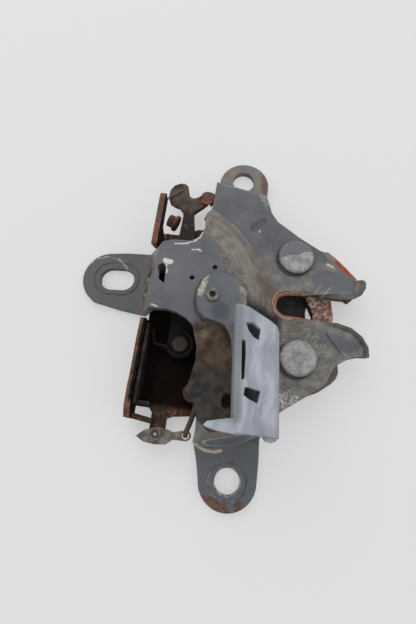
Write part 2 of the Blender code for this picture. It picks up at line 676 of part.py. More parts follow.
def build_cable_pin():
    top = BACK_TOP + CABLE_LEVER + 2.0 * GAP
    foot = BACK_LOW - GAP
    profile = [(0, foot - 1.0), (2.2, foot - 1.0), (2.2, foot), (CABLE_PIN, foot), (CABLE_PIN, top)]
    profile += [(2.1, top), (2.1, top + 0.5), (1.6, top + 0.9), (0, top + 0.7)]
    return finish(turned("cable_pin", profile, CABLE_PIVOT, 24), WORN)


def build_link_wire():
    """The wire from the cable lever to the pawl's tail, bent down into both holes."""
    run = LEAF_TOP + GAP + LINK_WIRE
    x, y = CABLE_END
    tail_x, tail_y = TAIL_HOLE
    path = [(x, y, BACK_TOP + 0.8), (x, y, run - 1.4), (x + 0.1, y + 0.5, run - 0.3), (x + 0.3, y + 1.5, run)]
    path += [(x + 1.2, y + 4.6, run), (tail_x - 0.3, -42.0, run), (tail_x, tail_y - 1.5, run)]
    path += [(tail_x, tail_y - 0.5, run - 0.3), (tail_x, tail_y, run - 1.4), (tail_x, tail_y, LEAF_LOW + 0.4)]
    return finish(tube("link_wire", path, LINK_WIRE, sides=10), DARK_RUST, 60.0)


# bracket

def bracket_section():
    """The wall and the top flange as one bent strip, x against z."""
    foot, top = BRACKET_WALL
    low = PAD_LOW + 0.7
    bend = 3.4
    outer = arc((top + bend, BRACKET_TOP - bend), bend, 180, 90, 6)
    inner = arc((top + bend, BRACKET_TOP - bend), bend - BRACKET, 90, 180, 5)
    end = [(BRACKET_RIGHT, BRACKET_TOP - 1.0), (BRACKET_RIGHT, BRACKET_TOP - 1.0 - BRACKET)]
    return [(foot, low)] + outer + end + inner + [(foot + BRACKET, low)]


def pad_outline():
    """The foot on the raised deck: a rounded lobe round the rivet and a strip along the wall."""
    points = [(-15.4, -34.5), (-16.4, -20.0), (-16.4, -12.0), (-15.4, -8.6), (-15.8, -2.0), (-20.0, 3.0)]
    points += [(-25.2, 4.4)]
    points += [(-28.8, 3.4), (-31.2, 1.0), (-32.5, -2.6), (-32.6, -7.0), (-31.4, -10.4), (-29.0, -12.6)]
    points += [(-25.0, -13.4), (-22.2, -14.2), (-20.4, -16.4), (-19.2, -19.0), (-18.4, -24.0), (-17.4, -34.5)]
    return points


def lean(obj):
    """Moves an upright piece of the bracket sideways in step with its distance down the plate."""
    for vertex in obj.data.vertices:
        vertex.co.x += BRACKET_LEAN * (-30.0 * MM - vertex.co.y)
    return obj


def build_bracket():
    pad = plate("top_bracket", pad_outline(), [circle(BRACKET_RIVET, RIVET_PIN + RUN, 16)], PAD_LOW, PAD_TOP)
    body = lean(extruded_section("body", bracket_section(), -48.7, -13.2))
    spike = [(-24.4, -47.7), (-23.4, -46.6), (-18.0, -45.2), (-12.0, -44.6), (-10.0, -48.5), (-15.1, -49.1)]
    spike += [(-20.7, -48.8), (-23.6, -48.2)]
    curl = [(-8.7, -46.0), (-4.7, -46.0), (-4.5, -48.0), (-5.2, -49.4), (-6.4, -50.0), (-7.7, -49.8), (-8.5, -49.0)]
    low = BRACKET_TOP - BRACKET - 1.4
    combine(pad, [body, plate("spike", spike, [], low, low + BRACKET),
                  plate("curl", curl, [], low - 0.6, low + BRACKET)], "UNION")
    high = BRACKET_TOP + 5.0
    corner = [(-20.5, -10.0), (-20.5, -13.3), (-18.7, -13.8), (-15.7, -14.8), (-9.8, -17.6), (-7.6, -19.0)]
    corner += [(-6.6, -21.4), (-2.0, -22.0), (-2.0, -10.0)]
    window = [(-16.3, -19.2), (-15.4, -21.4), (-13.9, -23.0), (-12.3, -23.8), (-12.1, -20.5), (-14.2, -19.1)]
    lower = [(-14.7, -36.7), (-14.8, -38.9), (-13.4, -39.8), (-11.0, -40.6), (-10.5, -37.3), (-13.3, -36.8)]
    slit = [(-16.9, -24.0), (-16.4, -29.4), (-15.8, -35.0), (-15.1, -34.6), (-15.4, -28.0), (-15.9, -24.3)]
    shapes = {"corner": corner, "window": window, "lower_window": lower, "slit": slit}
    cuts = [plate(name, shape, [], 40.0, high) for name, shape in shapes.items()]
    combine(pad, cuts, "DIFFERENCE")
    return finish(pad, BLUE_PAINT, 30.0)


def build_bracket_rivet():
    """The small rivet through the bracket's foot, hollow in its middle."""
    top = PAD_TOP + GAP
    foot = LEFT_DECK - SHEET - GAP
    profile = [(0, foot - 1.0), (2.3, foot - 1.0), (2.3, foot), (RIVET_PIN, foot), (RIVET_PIN, top)]
    profile += [(2.4, top), (2.4, top + 0.5), (2.0, top + 0.9), (1.1, top + 0.7), (0.8, top - 0.6)]
    profile += [(0, top - 0.7)]
    return finish(turned("bracket_rivet", profile, BRACKET_RIVET, 24), GREY_PAINT)


def main():
    for obj in list(bpy.data.objects):
        bpy.data.objects.remove(obj)
    build_front_plate()
    build_back_plate()
    build_box_liner()
    build_catch()
    build_pawl()
    build_plate_rivet("catch_rivet", CATCH_PIVOT)
    build_plate_rivet("pawl_rivet", PAWL_PIVOT)
    build_leaf_spring("catch_spring", CATCH_PIVOT, -1.0, (12.5, 17.5), (-8.0, 27.5))
    build_leaf_spring("pawl_spring", PAWL_PIVOT, 1.0, (-4.0, -32.0), (-6.0, -9.0))
    build_release_lever()
    build_lever_hook()
    build_lever_stud()
    build_stud_spring()
    build_stop_tube()
    build_tube_collar()
    build_flag_wire()
    build_spring_post()
    build_kick_spring()
    build_cable_lever()
    build_cable_pin()
    build_link_wire()
    build_bracket()
    build_bracket_rivet()


main()
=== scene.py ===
import math

import bpy
import numpy as np
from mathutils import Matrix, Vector

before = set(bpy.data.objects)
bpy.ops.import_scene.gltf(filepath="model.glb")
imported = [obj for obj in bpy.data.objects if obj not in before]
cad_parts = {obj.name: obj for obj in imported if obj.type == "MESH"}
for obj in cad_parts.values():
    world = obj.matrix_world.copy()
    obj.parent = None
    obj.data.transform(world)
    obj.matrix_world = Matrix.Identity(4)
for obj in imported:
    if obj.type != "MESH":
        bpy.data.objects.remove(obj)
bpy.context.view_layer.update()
print("frame loaded")

# patterns are laid out on Object coordinates, in millimetres from the centre of the slot's closed end
slotEndAt = (14.1, 57.0)


class Board:
    # a material being wired up; sockets and plain numbers can be mixed freely
    def __init__(self, name):
        self.material = bpy.data.materials.new(name)
        self.material.use_nodes = True
        self.tree = self.material.node_tree
        self.shader = self.tree.nodes["Principled BSDF"]
        coords = self.tree.nodes.new("ShaderNodeTexCoord")
        scaled = self.vector("MULTIPLY", coords.outputs["Object"], (1000.0, 1000.0, 1000.0))
        self.raw = self.vector("ADD", scaled, (-slotEndAt[0], -slotEndAt[1], 0.0))
        # the same place split and joined again: noise reads raw, and the drawn marks read place
        parts = self.tree.nodes.new("ShaderNodeSeparateColor")
        joined = self.tree.nodes.new("ShaderNodeCombineXYZ")
        self.tree.links.new(self.raw, parts.inputs[0])
        for i in range(3):
            self.tree.links.new(parts.outputs[i], joined.inputs[i])
        self.x, self.y, self.z = parts.outputs
        self.place = joined.outputs[0]

    def feed(self, socket, value):
        # link a socket to it, or set a plain value on it
        if isinstance(value, bpy.types.NodeSocket):
            self.tree.links.new(value, socket)
        else:
            socket.default_value = value

    def vector(self, operation, a, b=None):
        # one step of vector arithmetic
        node = self.tree.nodes.new("ShaderNodeVectorMath")
        node.operation = operation
        self.feed(node.inputs[0], a)
        if b is not None:
            self.feed(node.inputs[1], b)
        return node.outputs["Value" if operation in ("LENGTH", "DISTANCE", "DOT_PRODUCT") else "Vector"]

    def math(self, operation, a, b=0.0, clamp=False):
        # one step of arithmetic
        node = self.tree.nodes.new("ShaderNodeMath")
        node.operation = operation
        node.use_clamp = clamp
        self.feed(node.inputs[0], a)
        self.feed(node.inputs[1], b)
        return node.outputs[0]

    def fade(self, value, start, end):
        # 0 at start and 1 at end, with soft shoulders
        node = self.tree.nodes.new("ShaderNodeMapRange")
        node.interpolation_type = "SMOOTHSTEP"
        self.feed(node.inputs[0], value)
        node.inputs[1].default_value = start
        node.inputs[2].default_value = end
        return node.outputs[0]

    def noise(self, size, detail=4.0, rough=0.55, at=None):
        # grain about size millimetres across
        node = self.tree.nodes.new("ShaderNodeTexNoise")
        self.feed(node.inputs["Vector"], at or self.raw)
        node.inputs["Scale"].default_value = 1.0 / size
        node.inputs["Detail"].default_value = detail
        node.inputs["Roughness"].default_value = rough
        return node.outputs[0]

    def warped(self, size, reach):
        # the place pushed about by noise, for ragged borders
        node = self.tree.nodes.new("ShaderNodeTexNoise")
        self.feed(node.inputs["Vector"], self.raw)
        node.inputs["Scale"].default_value = 1.0 / size
        node.inputs["Detail"].default_value = 5.0
        split = self.tree.nodes.new("ShaderNodeSeparateColor")
        joined = self.tree.nodes.new("ShaderNodeCombineXYZ")
        self.tree.links.new(node.outputs[1], split.inputs[0])
        for i in range(3):
            self.tree.links.new(split.outputs[i], joined.inputs[i])
        shift = self.vector("SUBTRACT", joined.outputs[0], (0.5, 0.5, 0.5))
        shift = self.vector("MULTIPLY", shift, (reach, reach, reach))
        return self.vector("ADD", self.place, shift)

    def flat(self, at):
        # the place with its height taken out
        return self.vector("MULTIPLY", at, (1.0, 1.0, 0.0))

    def spot(self, at, centre, inner, outer):
        # 1 inside the inner radius round a point of the plan, 0 past the outer
        away = self.vector("DISTANCE", self.flat(at), (centre[0], centre[1], 0.0))
        return self.fade(away, outer, inner)

    def stroke(self, at, start, end, inner, outer):
        # the same round the segment between two points of the plan
        run = (end[0] - start[0], end[1] - start[1], 0.0)
        long = run[0] ** 2 + run[1] ** 2
        fromStart = self.vector("SUBTRACT", self.flat(at), (start[0], start[1], 0.0))
        share = self.math("DIVIDE", self.vector("DOT_PRODUCT", fromStart, run), long, clamp=True)
        node = self.tree.nodes.new("ShaderNodeVectorMath")
        node.operation = "SCALE"
        node.inputs[0].default_value = run
        self.feed(node.inputs["Scale"], share)
        away = self.vector("LENGTH", self.vector("SUBTRACT", fromStart, node.outputs[0]))
        return self.fade(away, outer, inner)

    def path(self, at, points, inner, outer):
        # the same along a line of several points
        found = self.stroke(at, points[0], points[1], inner, outer)
        for a, b in zip(points[1:], points[2:]):
            found = self.math("MAXIMUM", found, self.stroke(at, a, b, inner, outer))
        return found

    def marks(self, at, lines):
        # several such paths, each written as its points and its two radii
        found = self.path(at, *lines[0])
        for line in lines[1:]:
            found = self.math("MAXIMUM", found, self.path(at, *line))
        return found

    def ringMark(self, at, centre, inner, outer, soft=0.5):
        # 1 between two radii round a point of the plan
        away = self.vector("DISTANCE", self.flat(at), (centre[0], centre[1], 0.0))
        return self.both(self.fade(away, inner - soft, inner), self.fade(away, outer + soft, outer))

    def ellipse(self, at, centre, radii):
        # 1 on the ellipse, less inside it
        away = self.vector("SUBTRACT", self.flat(at), (centre[0], centre[1], 0.0))
        return self.vector("LENGTH", self.vector("MULTIPLY", away, (1 / radii[0], 1 / radii[1], 0.0)))

    def plan(self, at):
        # x and y of a place
        parts = self.tree.nodes.new("ShaderNodeSeparateXYZ")
        self.tree.links.new(at, parts.inputs[0])
        return parts.outputs[0], parts.outputs[1]

    def most(self, *masks):
        # the strongest of several masks
        found = masks[0]
        for mask in masks[1:]:
            found = self.math("MAXIMUM", found, mask)
        return found

    def both(self, *masks):
        # masks and strengths multiplied
        found = masks[0]
        for mask in masks[1:]:
            found = self.math("MULTIPLY", found, mask)
        return found

    def without(self, mask, hole):
        # a mask with another cut out of it
        return self.math("MULTIPLY", mask, self.math("SUBTRACT", 1.0, hole))

    def mix(self, share, a, b):
        # colour a where share is 0, b where it is 1
        node = self.tree.nodes.new("ShaderNodeMix")
        node.data_type = "RGBA"
        node.clamp_factor = True
        self.feed(node.inputs[0], share)
        self.feed(node.inputs[6], a)
        self.feed(node.inputs[7], b)
        return node.outputs[2]

    def blend(self, share, a, b):
        # the same for two numbers
        node = self.tree.nodes.new("ShaderNodeMix")
        self.feed(node.inputs[0], share)
        self.feed(node.inputs[2], a)
        self.feed(node.inputs[3], b)
        return node.outputs[0]

    def rounded(self, radius, samples=4):
        # the normal as if edges had this radius, in millimetres
        bevel = self.tree.nodes.new("ShaderNodeBevel")
        bevel.samples = samples
        bevel.inputs["Radius"].default_value = radius * 0.001
        return bevel.outputs[0]

    def edge(self, rounded):
        # 1 along sharp edges, where the rounded normal leaves the true one
        geometry = self.tree.nodes.new("ShaderNodeNewGeometry")
        alike = self.vector("DOT_PRODUCT", rounded, geometry.outputs["Normal"])
        return self.fade(alike, 0.995, 0.80)

    def facing(self):
        # height of the true normal: 1 on faces that look up, 0 on sides
        geometry = self.tree.nodes.new("ShaderNodeNewGeometry")
        parts = self.tree.nodes.new("ShaderNodeSeparateXYZ")
        self.tree.links.new(geometry.outputs["Normal"], parts.inputs[0])
        return parts.outputs[2]

    def finish(self, colour, rough, bump=None, depth=0.12, normal=None, specular=0.5):
        # put it all on the shader; depth is the bump's height in millimetres
        self.feed(self.shader.inputs["Base Color"], colour)
        self.feed(self.shader.inputs["Roughness"], rough)
        self.feed(self.shader.inputs["Specular IOR Level"], specular)
        if bump is not None:
            node = self.tree.nodes.new("ShaderNodeBump")
            node.inputs["Distance"].default_value = depth * 0.001
            node.inputs["Strength"].default_value = 1.0
            self.feed(node.inputs["Height"], bump)
            if normal is not None:
                self.feed(node.inputs["Normal"], normal)
            self.tree.links.new(node.outputs[0], self.shader.inputs["Normal"])
        return self.material


def tone(r, g, b):
    # a colour written as it is seen, 0 to 255
    return tuple((v / 12.92 if v <= 0.04045 else ((v + 0.055) / 1.055) ** 2.4)
                 for v in (r / 255.0, g / 255.0, b / 255.0)) + (1.0,)


raisedDeck = {"centre": (-48.0, -12.0), "radii": (40.0, 46.0)}    # the ellipse that the step follows
# bare: how far up a rivet's face the bare metal reaches
rivets = {"catch_rivet": {"centre": (1.4, 18.2), "bare": 0.4},
          "pawl_rivet": {"centre": (5.0, -19.9), "bare": 7.0}}
bolts = {"bottom": (-14.1, -64.2), "left": (-71.0, 4.5)}
bracketRivetAt = (-27.3, -4.4, 0.0)
cablePinAt = (-41.1, -51.8, 0.0)
bracketLean = 0.085    # the bracket's slant in plan, across for each millimetre along

paint = {"deck": tone(88, 91, 96), "ear": tone(82, 86, 92), "worn": tone(176, 178, 178)}
dirt = {"tan": tone(148, 138, 125), "brown": tone(104, 90, 77), "dark": tone(52, 45, 40),
        "grit": tone(214, 208, 198)}
rust = {"bright": tone(140, 84, 62), "orange": tone(168, 104, 74), "brown": tone(96, 70, 58),
        "black": tone(40, 35, 33)}


def rustColours(board, at=None, dull=0.0):
    # brown rust with bright patches, near-black crust and pits
    broad = board.noise(5.0, 6.0, 0.6, at)
    fine = board.noise(0.9, 5.0, 0.65, at)
    colour = board.mix(board.fade(broad, 0.42, 0.66), rust["brown"], rust["bright"])
    colour = board.mix(board.both(board.fade(fine, 0.55, 0.72), 0.5), colour, rust["orange"])
    colour = board.mix(board.both(board.fade(board.noise(2.2, 6.0, 0.6, at), 0.50, 0.64), 0.75), colour,
                       rust["black"])
    # dull pulls the colour towards dark dirt; on the box liner this is painted shade
    if dull:
        colour = board.mix(dull, colour, dirt["dark"])
    return colour, fine


plateLook = {
    "cloud": tone(76, 78, 82), "paleCloud": tone(108, 110, 114),
}


def platePaint(name):
    # grey paint, slightly clouded, with faint long scratches: what both halves of the front plate start from
    b = Board(name)
    clouds = b.noise(14.0, 3.0)
    colour = b.mix(b.fade(clouds, 0.35, 0.68), paint["deck"], plateLook["cloud"])
    colour = b.mix(b.both(b.fade(b.noise(3.0, 5.0), 0.5, 0.7), 0.25), colour, plateLook["paleCloud"])
    streaks = b.noise(1.0, 2.0, 0.5, b.vector("MULTIPLY", b.raw, (0.12, 2.6, 1.0)))
    colour = b.mix(b.both(b.fade(streaks, 0.66, 0.72), 0.18), colour, paint["worn"])
    return b, colour


plateEdge = {
    "belowDark": tone(58, 52, 47), "belowLight": tone(86, 66, 52), "bareMetal": tone(150, 148, 144),
    "radius": 0.55, "relief": 0.16, "cleanRough": 0.42, "dirtyRough": 0.88,
}


def plateFinish(b, colour, facing, dirty, pressed, shine):
    # the parts that both halves end with: dull underside, bare metal along worn edges
    blotch = b.fade(b.noise(3.4, 6.0, 0.6), 0.35, 0.62)
    below = b.fade(facing, 0.1, -0.5)
    colour = b.mix(b.both(below, 0.8), colour, b.mix(blotch, plateEdge["belowDark"], plateEdge["belowLight"]))
    rounded = b.rounded(plateEdge["radius"])
    edges = b.edge(rounded)
    wear = b.without(b.both(edges, b.fade(b.noise(3.5, 4.0), 0.36, 0.58)), b.most(dirty, below))
    colour = b.mix(b.both(wear, 0.5), colour, plateEdge["bareMetal"])
    rough = b.blend(dirty, plateEdge["cleanRough"], plateEdge["dirtyRough"])
    bump = b.math("ADD", b.both(b.noise(0.5, 4.0, 0.7), b.blend(dirty, 0.08, 0.8)),
                  b.both(b.noise(2.4, 4.0), b.blend(dirty, 0.15, 0.8)))
    bump = b.math("ADD", b.math("ADD", bump, pressed), b.both(b.noise(12.0, 2.0), 3.0))
    return b.finish(colour, rough, bump, plateEdge["relief"], rounded, shine)


deckLook = {
    "dustDark": tone(108, 101, 93), "dustLight": tone(138, 132, 123), "dustPits": tone(84, 77, 70),
    "dustClouds": tone(82, 80, 78), "filmDark": tone(108, 106, 101), "filmLight": tone(140, 137, 130),
    "slotDirt": tone(92, 78, 66), "speckleBed": tone(70, 64, 58), "speckle": tone(184, 180, 171),
    "brownSpeckle": tone(66, 60, 54), "crust": tone(196, 195, 190), "rivetShadow": tone(50, 47, 43),
    "oilAndShadeDark": tone(58, 49, 41), "oilAndShadeLight": tone(98, 80, 65), "lowOilAndShadeDark": tone(45, 43, 41),
    "lowOilAndShadeLight": tone(72, 68, 63), "rubbed": tone(128, 122, 112), "shadowUnderBracket": tone(30, 31, 35),
    "bracketFootShadow": tone(38, 36, 35), "chipAndGlint": tone(206, 206, 203), "scratch": tone(196, 194, 188),
    "fold": tone(160, 160, 158), "pressed": tone(54, 57, 62), "lowCutDark": tone(66, 60, 54),
    "lowCutLight": tone(98, 88, 76),
    "rimDark": tone(120, 82, 64), "rimLight": tone(166, 104, 76), "rimLine": tone(190, 164, 140),
    "lipDark": tone(46, 44, 41), "lipLight": tone(84, 78, 70), "hornTip": tone(78, 80, 82),
    "tipRust": tone(132, 98, 72), "shine": 0.42, "oilShine": 0.06,
}


def deckPaint():
    # middle of the front plate: tan dirt on the step, brown grime low down with painted shade, speckles,
    # chips and painted highlights, the worn rim of the slot, painted shadows round the rivets and under the
    # bracket
    b, colour = platePaint("deckPaint")
    ragged = b.warped(5.0, 5.5)
    torn = b.warped(1.8, 1.6)
    tornY = b.plan(torn)[1]
    facing = b.facing()
    sloped = b.fade(facing, 0.97, 0.9)
    # ellipse round the raised deck: 1 on the middle of the step
    reach = b.ellipse(torn, raisedDeck["centre"], raisedDeck["radii"])
    wide = b.ellipse(ragged, raisedDeck["centre"], raisedDeck["radii"])
    tight = b.ellipse(b.place, raisedDeck["centre"], raisedDeck["radii"])
    inner = b.blend(b.fade(b.x, -21.0, -14.0), 0.775, 0.86)
    inside = b.fade(b.math("SUBTRACT", b.blend(0.5, reach, wide), inner), -0.006, 0.014)
    step = b.both(inside, b.fade(tight, 1.095, 1.075), b.fade(tornY, -16.0, -8.0))
    side = b.both(b.fade(b.x, -29.0, -33.0), b.fade(tornY, 21.0, 23.0), b.fade(b.y, 38.0, 34.0), 0.8)
    patchy = b.both(b.stroke(torn, (-25.0, 11.0), (-17.6, 2.4), 1.2, 2.6),
                    b.fade(b.noise(1.1, 5.0, 0.65), 0.40, 0.50))
    step = b.most(step, side, patchy)
    low = b.both(b.fade(b.plan(ragged)[1], 20.5, 16.5), b.fade(reach, 1.0, 1.06), b.fade(b.y, -46.0, -42.0))
    clean = b.most(b.stroke(ragged, (12.0, 10.5), (21.0, 11.0), 2.6, 5.0),
                   b.stroke(ragged, (15.0, -11.5), (25.0, -13.0), 1.6, 3.4))
    low = b.without(low, clean)
    blotch = b.fade(b.noise(3.4, 6.0, 0.6), 0.35, 0.62)
    thick = b.most(step, b.both(low, b.blend(blotch, 0.42, 0.8)))
    tan = b.mix(b.fade(b.noise(4.0, 5.0, 0.6), 0.36, 0.66), deckLook["dustDark"], deckLook["dustLight"])
    tan = b.mix(b.both(b.fade(b.noise(0.55, 3.0, 0.6), 0.50, 0.64), 0.6), tan, deckLook["dustPits"])
    tan = b.mix(b.both(b.fade(b.noise(2.0, 6.0, 0.7), 0.52, 0.64), 0.45), tan, deckLook["dustClouds"])
    tan = b.mix(b.both(b.fade(b.noise(0.42, 3.0, 0.6), 0.59, 0.66), 0.35), tan, dirt["grit"])
    grey = b.mix(blotch, deckLook["filmDark"], deckLook["filmLight"])
    tan = b.mix(b.both(low, b.fade(tight, 1.08, 1.16), 0.75), tan, grey)
    colour = b.mix(b.both(thick, 0.92), colour, tan)
    # brown dirt close round the slot's end, speckles round the lower rivet
    slotEnd = b.stroke(ragged, (-9.0, 5.0), (4.0, -7.0), 1.0, 5.6)
    colour = b.mix(b.both(slotEnd, b.blend(blotch, 0.45, 0.9)), colour, deckLook["slotDirt"])
    speckled = b.most(b.stroke(ragged, (-4.0, -6.0), (8.0, -16.0), 5.0, 10.0),
                      b.both(b.stroke(ragged, (8.0, -16.0), (13.0, -22.0), 3.0, 7.0), 0.6),
                      b.spot(ragged, (-1.0, -32.0), 4.0, 8.0))
    colour = b.mix(b.both(speckled, b.fade(b.noise(2.6, 5.0, 0.65), 0.46, 0.62), 0.55), colour,
                   deckLook["speckleBed"])
    colour = b.mix(b.both(speckled, b.fade(b.noise(0.45, 3.0, 0.65), 0.58, 0.63), 0.7), colour,
                   deckLook["speckle"])
    colour = b.mix(b.both(speckled, b.fade(b.noise(0.62, 3.0, 0.65), 0.44, 0.38), 0.85), colour,
                   deckLook["brownSpeckle"])
    patch = b.both(b.most(b.spot(ragged, (-0.5, -34.5), 1.6, 4.0),
                          b.stroke(ragged, (2.0, -36.4), (6.0, -34.0), 0.4, 1.6)),
                   b.fade(b.noise(0.8, 4.0, 0.7), 0.44, 0.54))
    colour = b.mix(b.both(patch, 0.8), colour, deckLook["crust"])
    # painted shadow: a dark ring at the foot of both rivets, deepest at the lower left
    centres = [rivet["centre"] for rivet in rivets.values()]
    rivetShadows = [b.ringMark(b.place, (x - 0.5, y - 0.6), 6.2, 6.7, 0.45) for x, y in centres]
    colour = b.mix(b.both(b.most(*rivetShadows), 0.8), colour, deckLook["rivetShadow"])
    # brown oily dirt under the bracket with the bracket's painted shade over it, darker towards the bottom
    # ear
    grimeAndShade = b.both(b.fade(tornY, -11.5, -15.0), b.fade(b.x, -9.0, -12.0), b.fade(b.y, -51.0, -48.0),
                   b.fade(b.x, -34.0, -31.0))
    brown = b.mix(b.fade(b.noise(5.0, 6.0, 0.65), 0.35, 0.65), deckLook["oilAndShadeDark"], deckLook["oilAndShadeLight"])
    brown = b.mix(b.fade(b.y, -24.0, -33.0), brown, b.mix(blotch, deckLook["lowOilAndShadeDark"],
                                                          deckLook["lowOilAndShadeLight"]))
    colour = b.mix(b.both(grimeAndShade, 0.93), colour, brown)
    colour = b.mix(b.both(b.spot(torn, (-28.2, -17.5), 0.6, 2.2), 0.5), colour, deckLook["rubbed"])
    # painted shade: the deck under the bracket, seen through its windows, is painted near-black
    shadeUnderBracket = b.both(b.fade(b.x, -17.4, -16.4), b.fade(b.x, 0.0, -4.0), b.fade(b.y, -46.0, -43.0),
                   b.fade(b.y, -2.0, -7.0))
    colour = b.mix(b.both(shadeUnderBracket, 0.9), colour, deckLook["shadowUnderBracket"])
    # painted shadow: a dark line along the bracket's foot
    footShadow = b.path(b.place, [(-28.9, 3.9), (-31.9, 1.2), (-33.2, -2.6), (-33.3, -7.2), (-32.0, -10.9),
                            (-29.2, -13.4)], 0.1, 0.7)
    colour = b.mix(b.both(footShadow, b.fade(b.z, 20.0, 22.0), 0.85), colour, deckLook["bracketFootShadow"])
    # bare light chips, and painted highlights along the left deck's top edge
    chipsAndGlints = b.marks(torn, [([(-43.2, 13.9), (-38.4, 14.5), (-35.4, 16.4), (-33.8, 19.2)], 0.02, 0.4),
                           ([(-36.8, 12.3), (-35.4, 12.7), (-33.4, 12.1)], 0.02, 0.42),
                           ([(-45.4, 6.9), (-43.7, 6.5)], 0.7, 1.2), ([(-44.7, 5.4), (-44.7, 2.6)], 0.05,
                                                                      0.45),
                           ([(-47.6, -9.7), (-45.6, -10.2)], 0.05, 0.4), ([(13.6, 17.6), (15.6, 16.4)], 0.1,
                                                                          0.6),
                           ([(-13.4, 27.0), (-13.2, 28.0)], 0.05, 0.3)])
    colour = b.mix(b.both(chipsAndGlints, 0.85), colour, deckLook["chipAndGlint"])
    scratches = b.marks(b.place, [([(12.6, 4.8), (15.4, 8.6)], 0.0, 0.16),
                                  ([(9.4, 5.0), (11.8, 9.2)], 0.0, 0.12)])
    colour = b.mix(b.both(scratches, 0.8), colour, deckLook["scratch"])
    # a light line along the top fold: wear, and a painted highlight on the bend
    fold = b.path(torn, [(-30.6, 46.4), (-22.2, 45.1), (-13.2, 43.5)], 0.05, 0.6)
    scuffed = b.both(b.stroke(ragged, (-13.4, 43.0), (-11.2, 38.6), 0.6, 1.6),
                     b.fade(b.noise(0.8, 4.0), 0.44, 0.56))
    colour = b.mix(b.both(b.most(b.both(fold, b.blend(b.noise(2.0), 0.2, 0.9)), scuffed), 0.6), colour,
                   deckLook["fold"])
    # pressed marks: a short recess by the upper rivet, a faint ring, the crease on the lower horn; painted
    # darker as painted shade in the recesses
    rib = b.stroke(b.place, (-15.4, 28.8), (-12.2, 32.0), 0.2, 1.9)
    ring = b.ringMark(b.place, (-11.0, 23.0), 1.2, 1.9)
    crease = b.stroke(b.warped(6.0, 1.5), (14.6, -9.6), (20.6, -16.4), 0.05, 0.45)
    colour = b.mix(b.most(b.both(rib, 0.5), b.both(crease, 0.7), b.both(ring, 0.25)), colour,
                   deckLook["pressed"])
    # rust: the rolled slot rim and cut edges
    fromAxis = b.vector("LENGTH", b.vector("MAXIMUM", b.vector("MULTIPLY", b.flat(torn), (-1.0, 1.0, 0.0)),
                                           (0.0, -90.0, 0.0)))
    rim = b.both(b.fade(fromAxis, 5.9, 5.2), b.fade(b.x, 12.0, 4.0), b.fade(b.y, 5.6, 4.4))
    cut = b.both(b.fade(b.math("ABSOLUTE", facing), 0.16, 0.08), b.fade(b.noise(3.0, 5.0), 0.44, 0.58),
                 b.fade(b.y, -18.0, -8.0))
    lowCut = b.both(b.fade(b.math("ABSOLUTE", facing), 0.3, 0.1), b.fade(b.y, -8.0, -18.0),
                    b.fade(b.y, -46.0, -42.0))
    colour = b.mix(b.both(lowCut, 0.85), colour, b.mix(blotch, deckLook["lowCutDark"],
                                                       deckLook["lowCutLight"]))
    rustColour = rustColours(b)[0]
    colour = b.mix(b.both(cut, 0.5), colour, rustColour)
    rimColour = b.mix(b.fade(b.noise(1.6, 5.0), 0.4, 0.62), deckLook["rimDark"], deckLook["rimLight"])
    colour = b.mix(b.both(rim, 0.9), colour, rimColour)
    lines = b.most(b.ringMark(torn, (0.0, 0.0), 5.35, 5.6, 0.12),
                   b.ringMark(torn, (0.0, 0.0), 4.45, 4.65, 0.12))
    colour = b.mix(b.both(lines, b.fade(b.x, 4.0, 1.0), 0.6), colour, deckLook["rimLine"])
    # inside of the horns' lip: dark dirt, rusty at the upper tip
    curled = b.both(sloped, b.fade(b.x, 7.0, 12.0), b.fade(b.math("ABSOLUTE", b.y), 18.0, 16.0))
    lowerLip = b.both(curled, b.fade(b.y, -3.0, -5.0), b.fade(b.x, 12.0, 20.0))
    colour = b.mix(b.both(lowerLip, 0.85), colour, b.mix(blotch, deckLook["lipDark"], deckLook["lipLight"]))
    tip = b.both(b.fade(b.x, 22.5, 24.0), b.fade(b.y, 5.0, 7.0))
    colour = b.mix(b.both(tip, 0.7), colour, deckLook["hornTip"])
    colour = b.mix(b.both(b.stroke(ragged, (24.4, 8.6), (25.8, 10.4), 0.3, 1.5), 0.8), colour,
                   deckLook["tipRust"])
    dirty = b.most(thick, grimeAndShade, rim, b.both(speckled, 0.7))
    pressed = b.math("ADD", b.math("ADD", b.both(rib, -5.0), b.both(crease, -2.0)), b.both(ring, -0.8))
    shine = b.blend(b.most(shadeUnderBracket, grimeAndShade), deckLook["shine"], deckLook["oilShine"])
    return plateFinish(b, colour, facing, dirty, pressed, shine)


earLook = {
    "leftEar": tone(72, 73, 75), "sideDark": tone(45, 43, 41), "sideLight": tone(84, 79, 72),
    "root": tone(100, 92, 83), "nick": tone(134, 120, 104), "seam": tone(110, 105, 98),
    "oval": tone(86, 91, 97), "ovalRimHighlight": tone(160, 157, 150), "lip": tone(180, 168, 150),
    "boltArc": tone(186, 178, 164), "leftArc": tone(176, 176, 172), "topDirt": tone(128, 116, 104),
    "pit": tone(30, 28, 27), "speck": tone(206, 204, 200), "shine": 0.42,
}


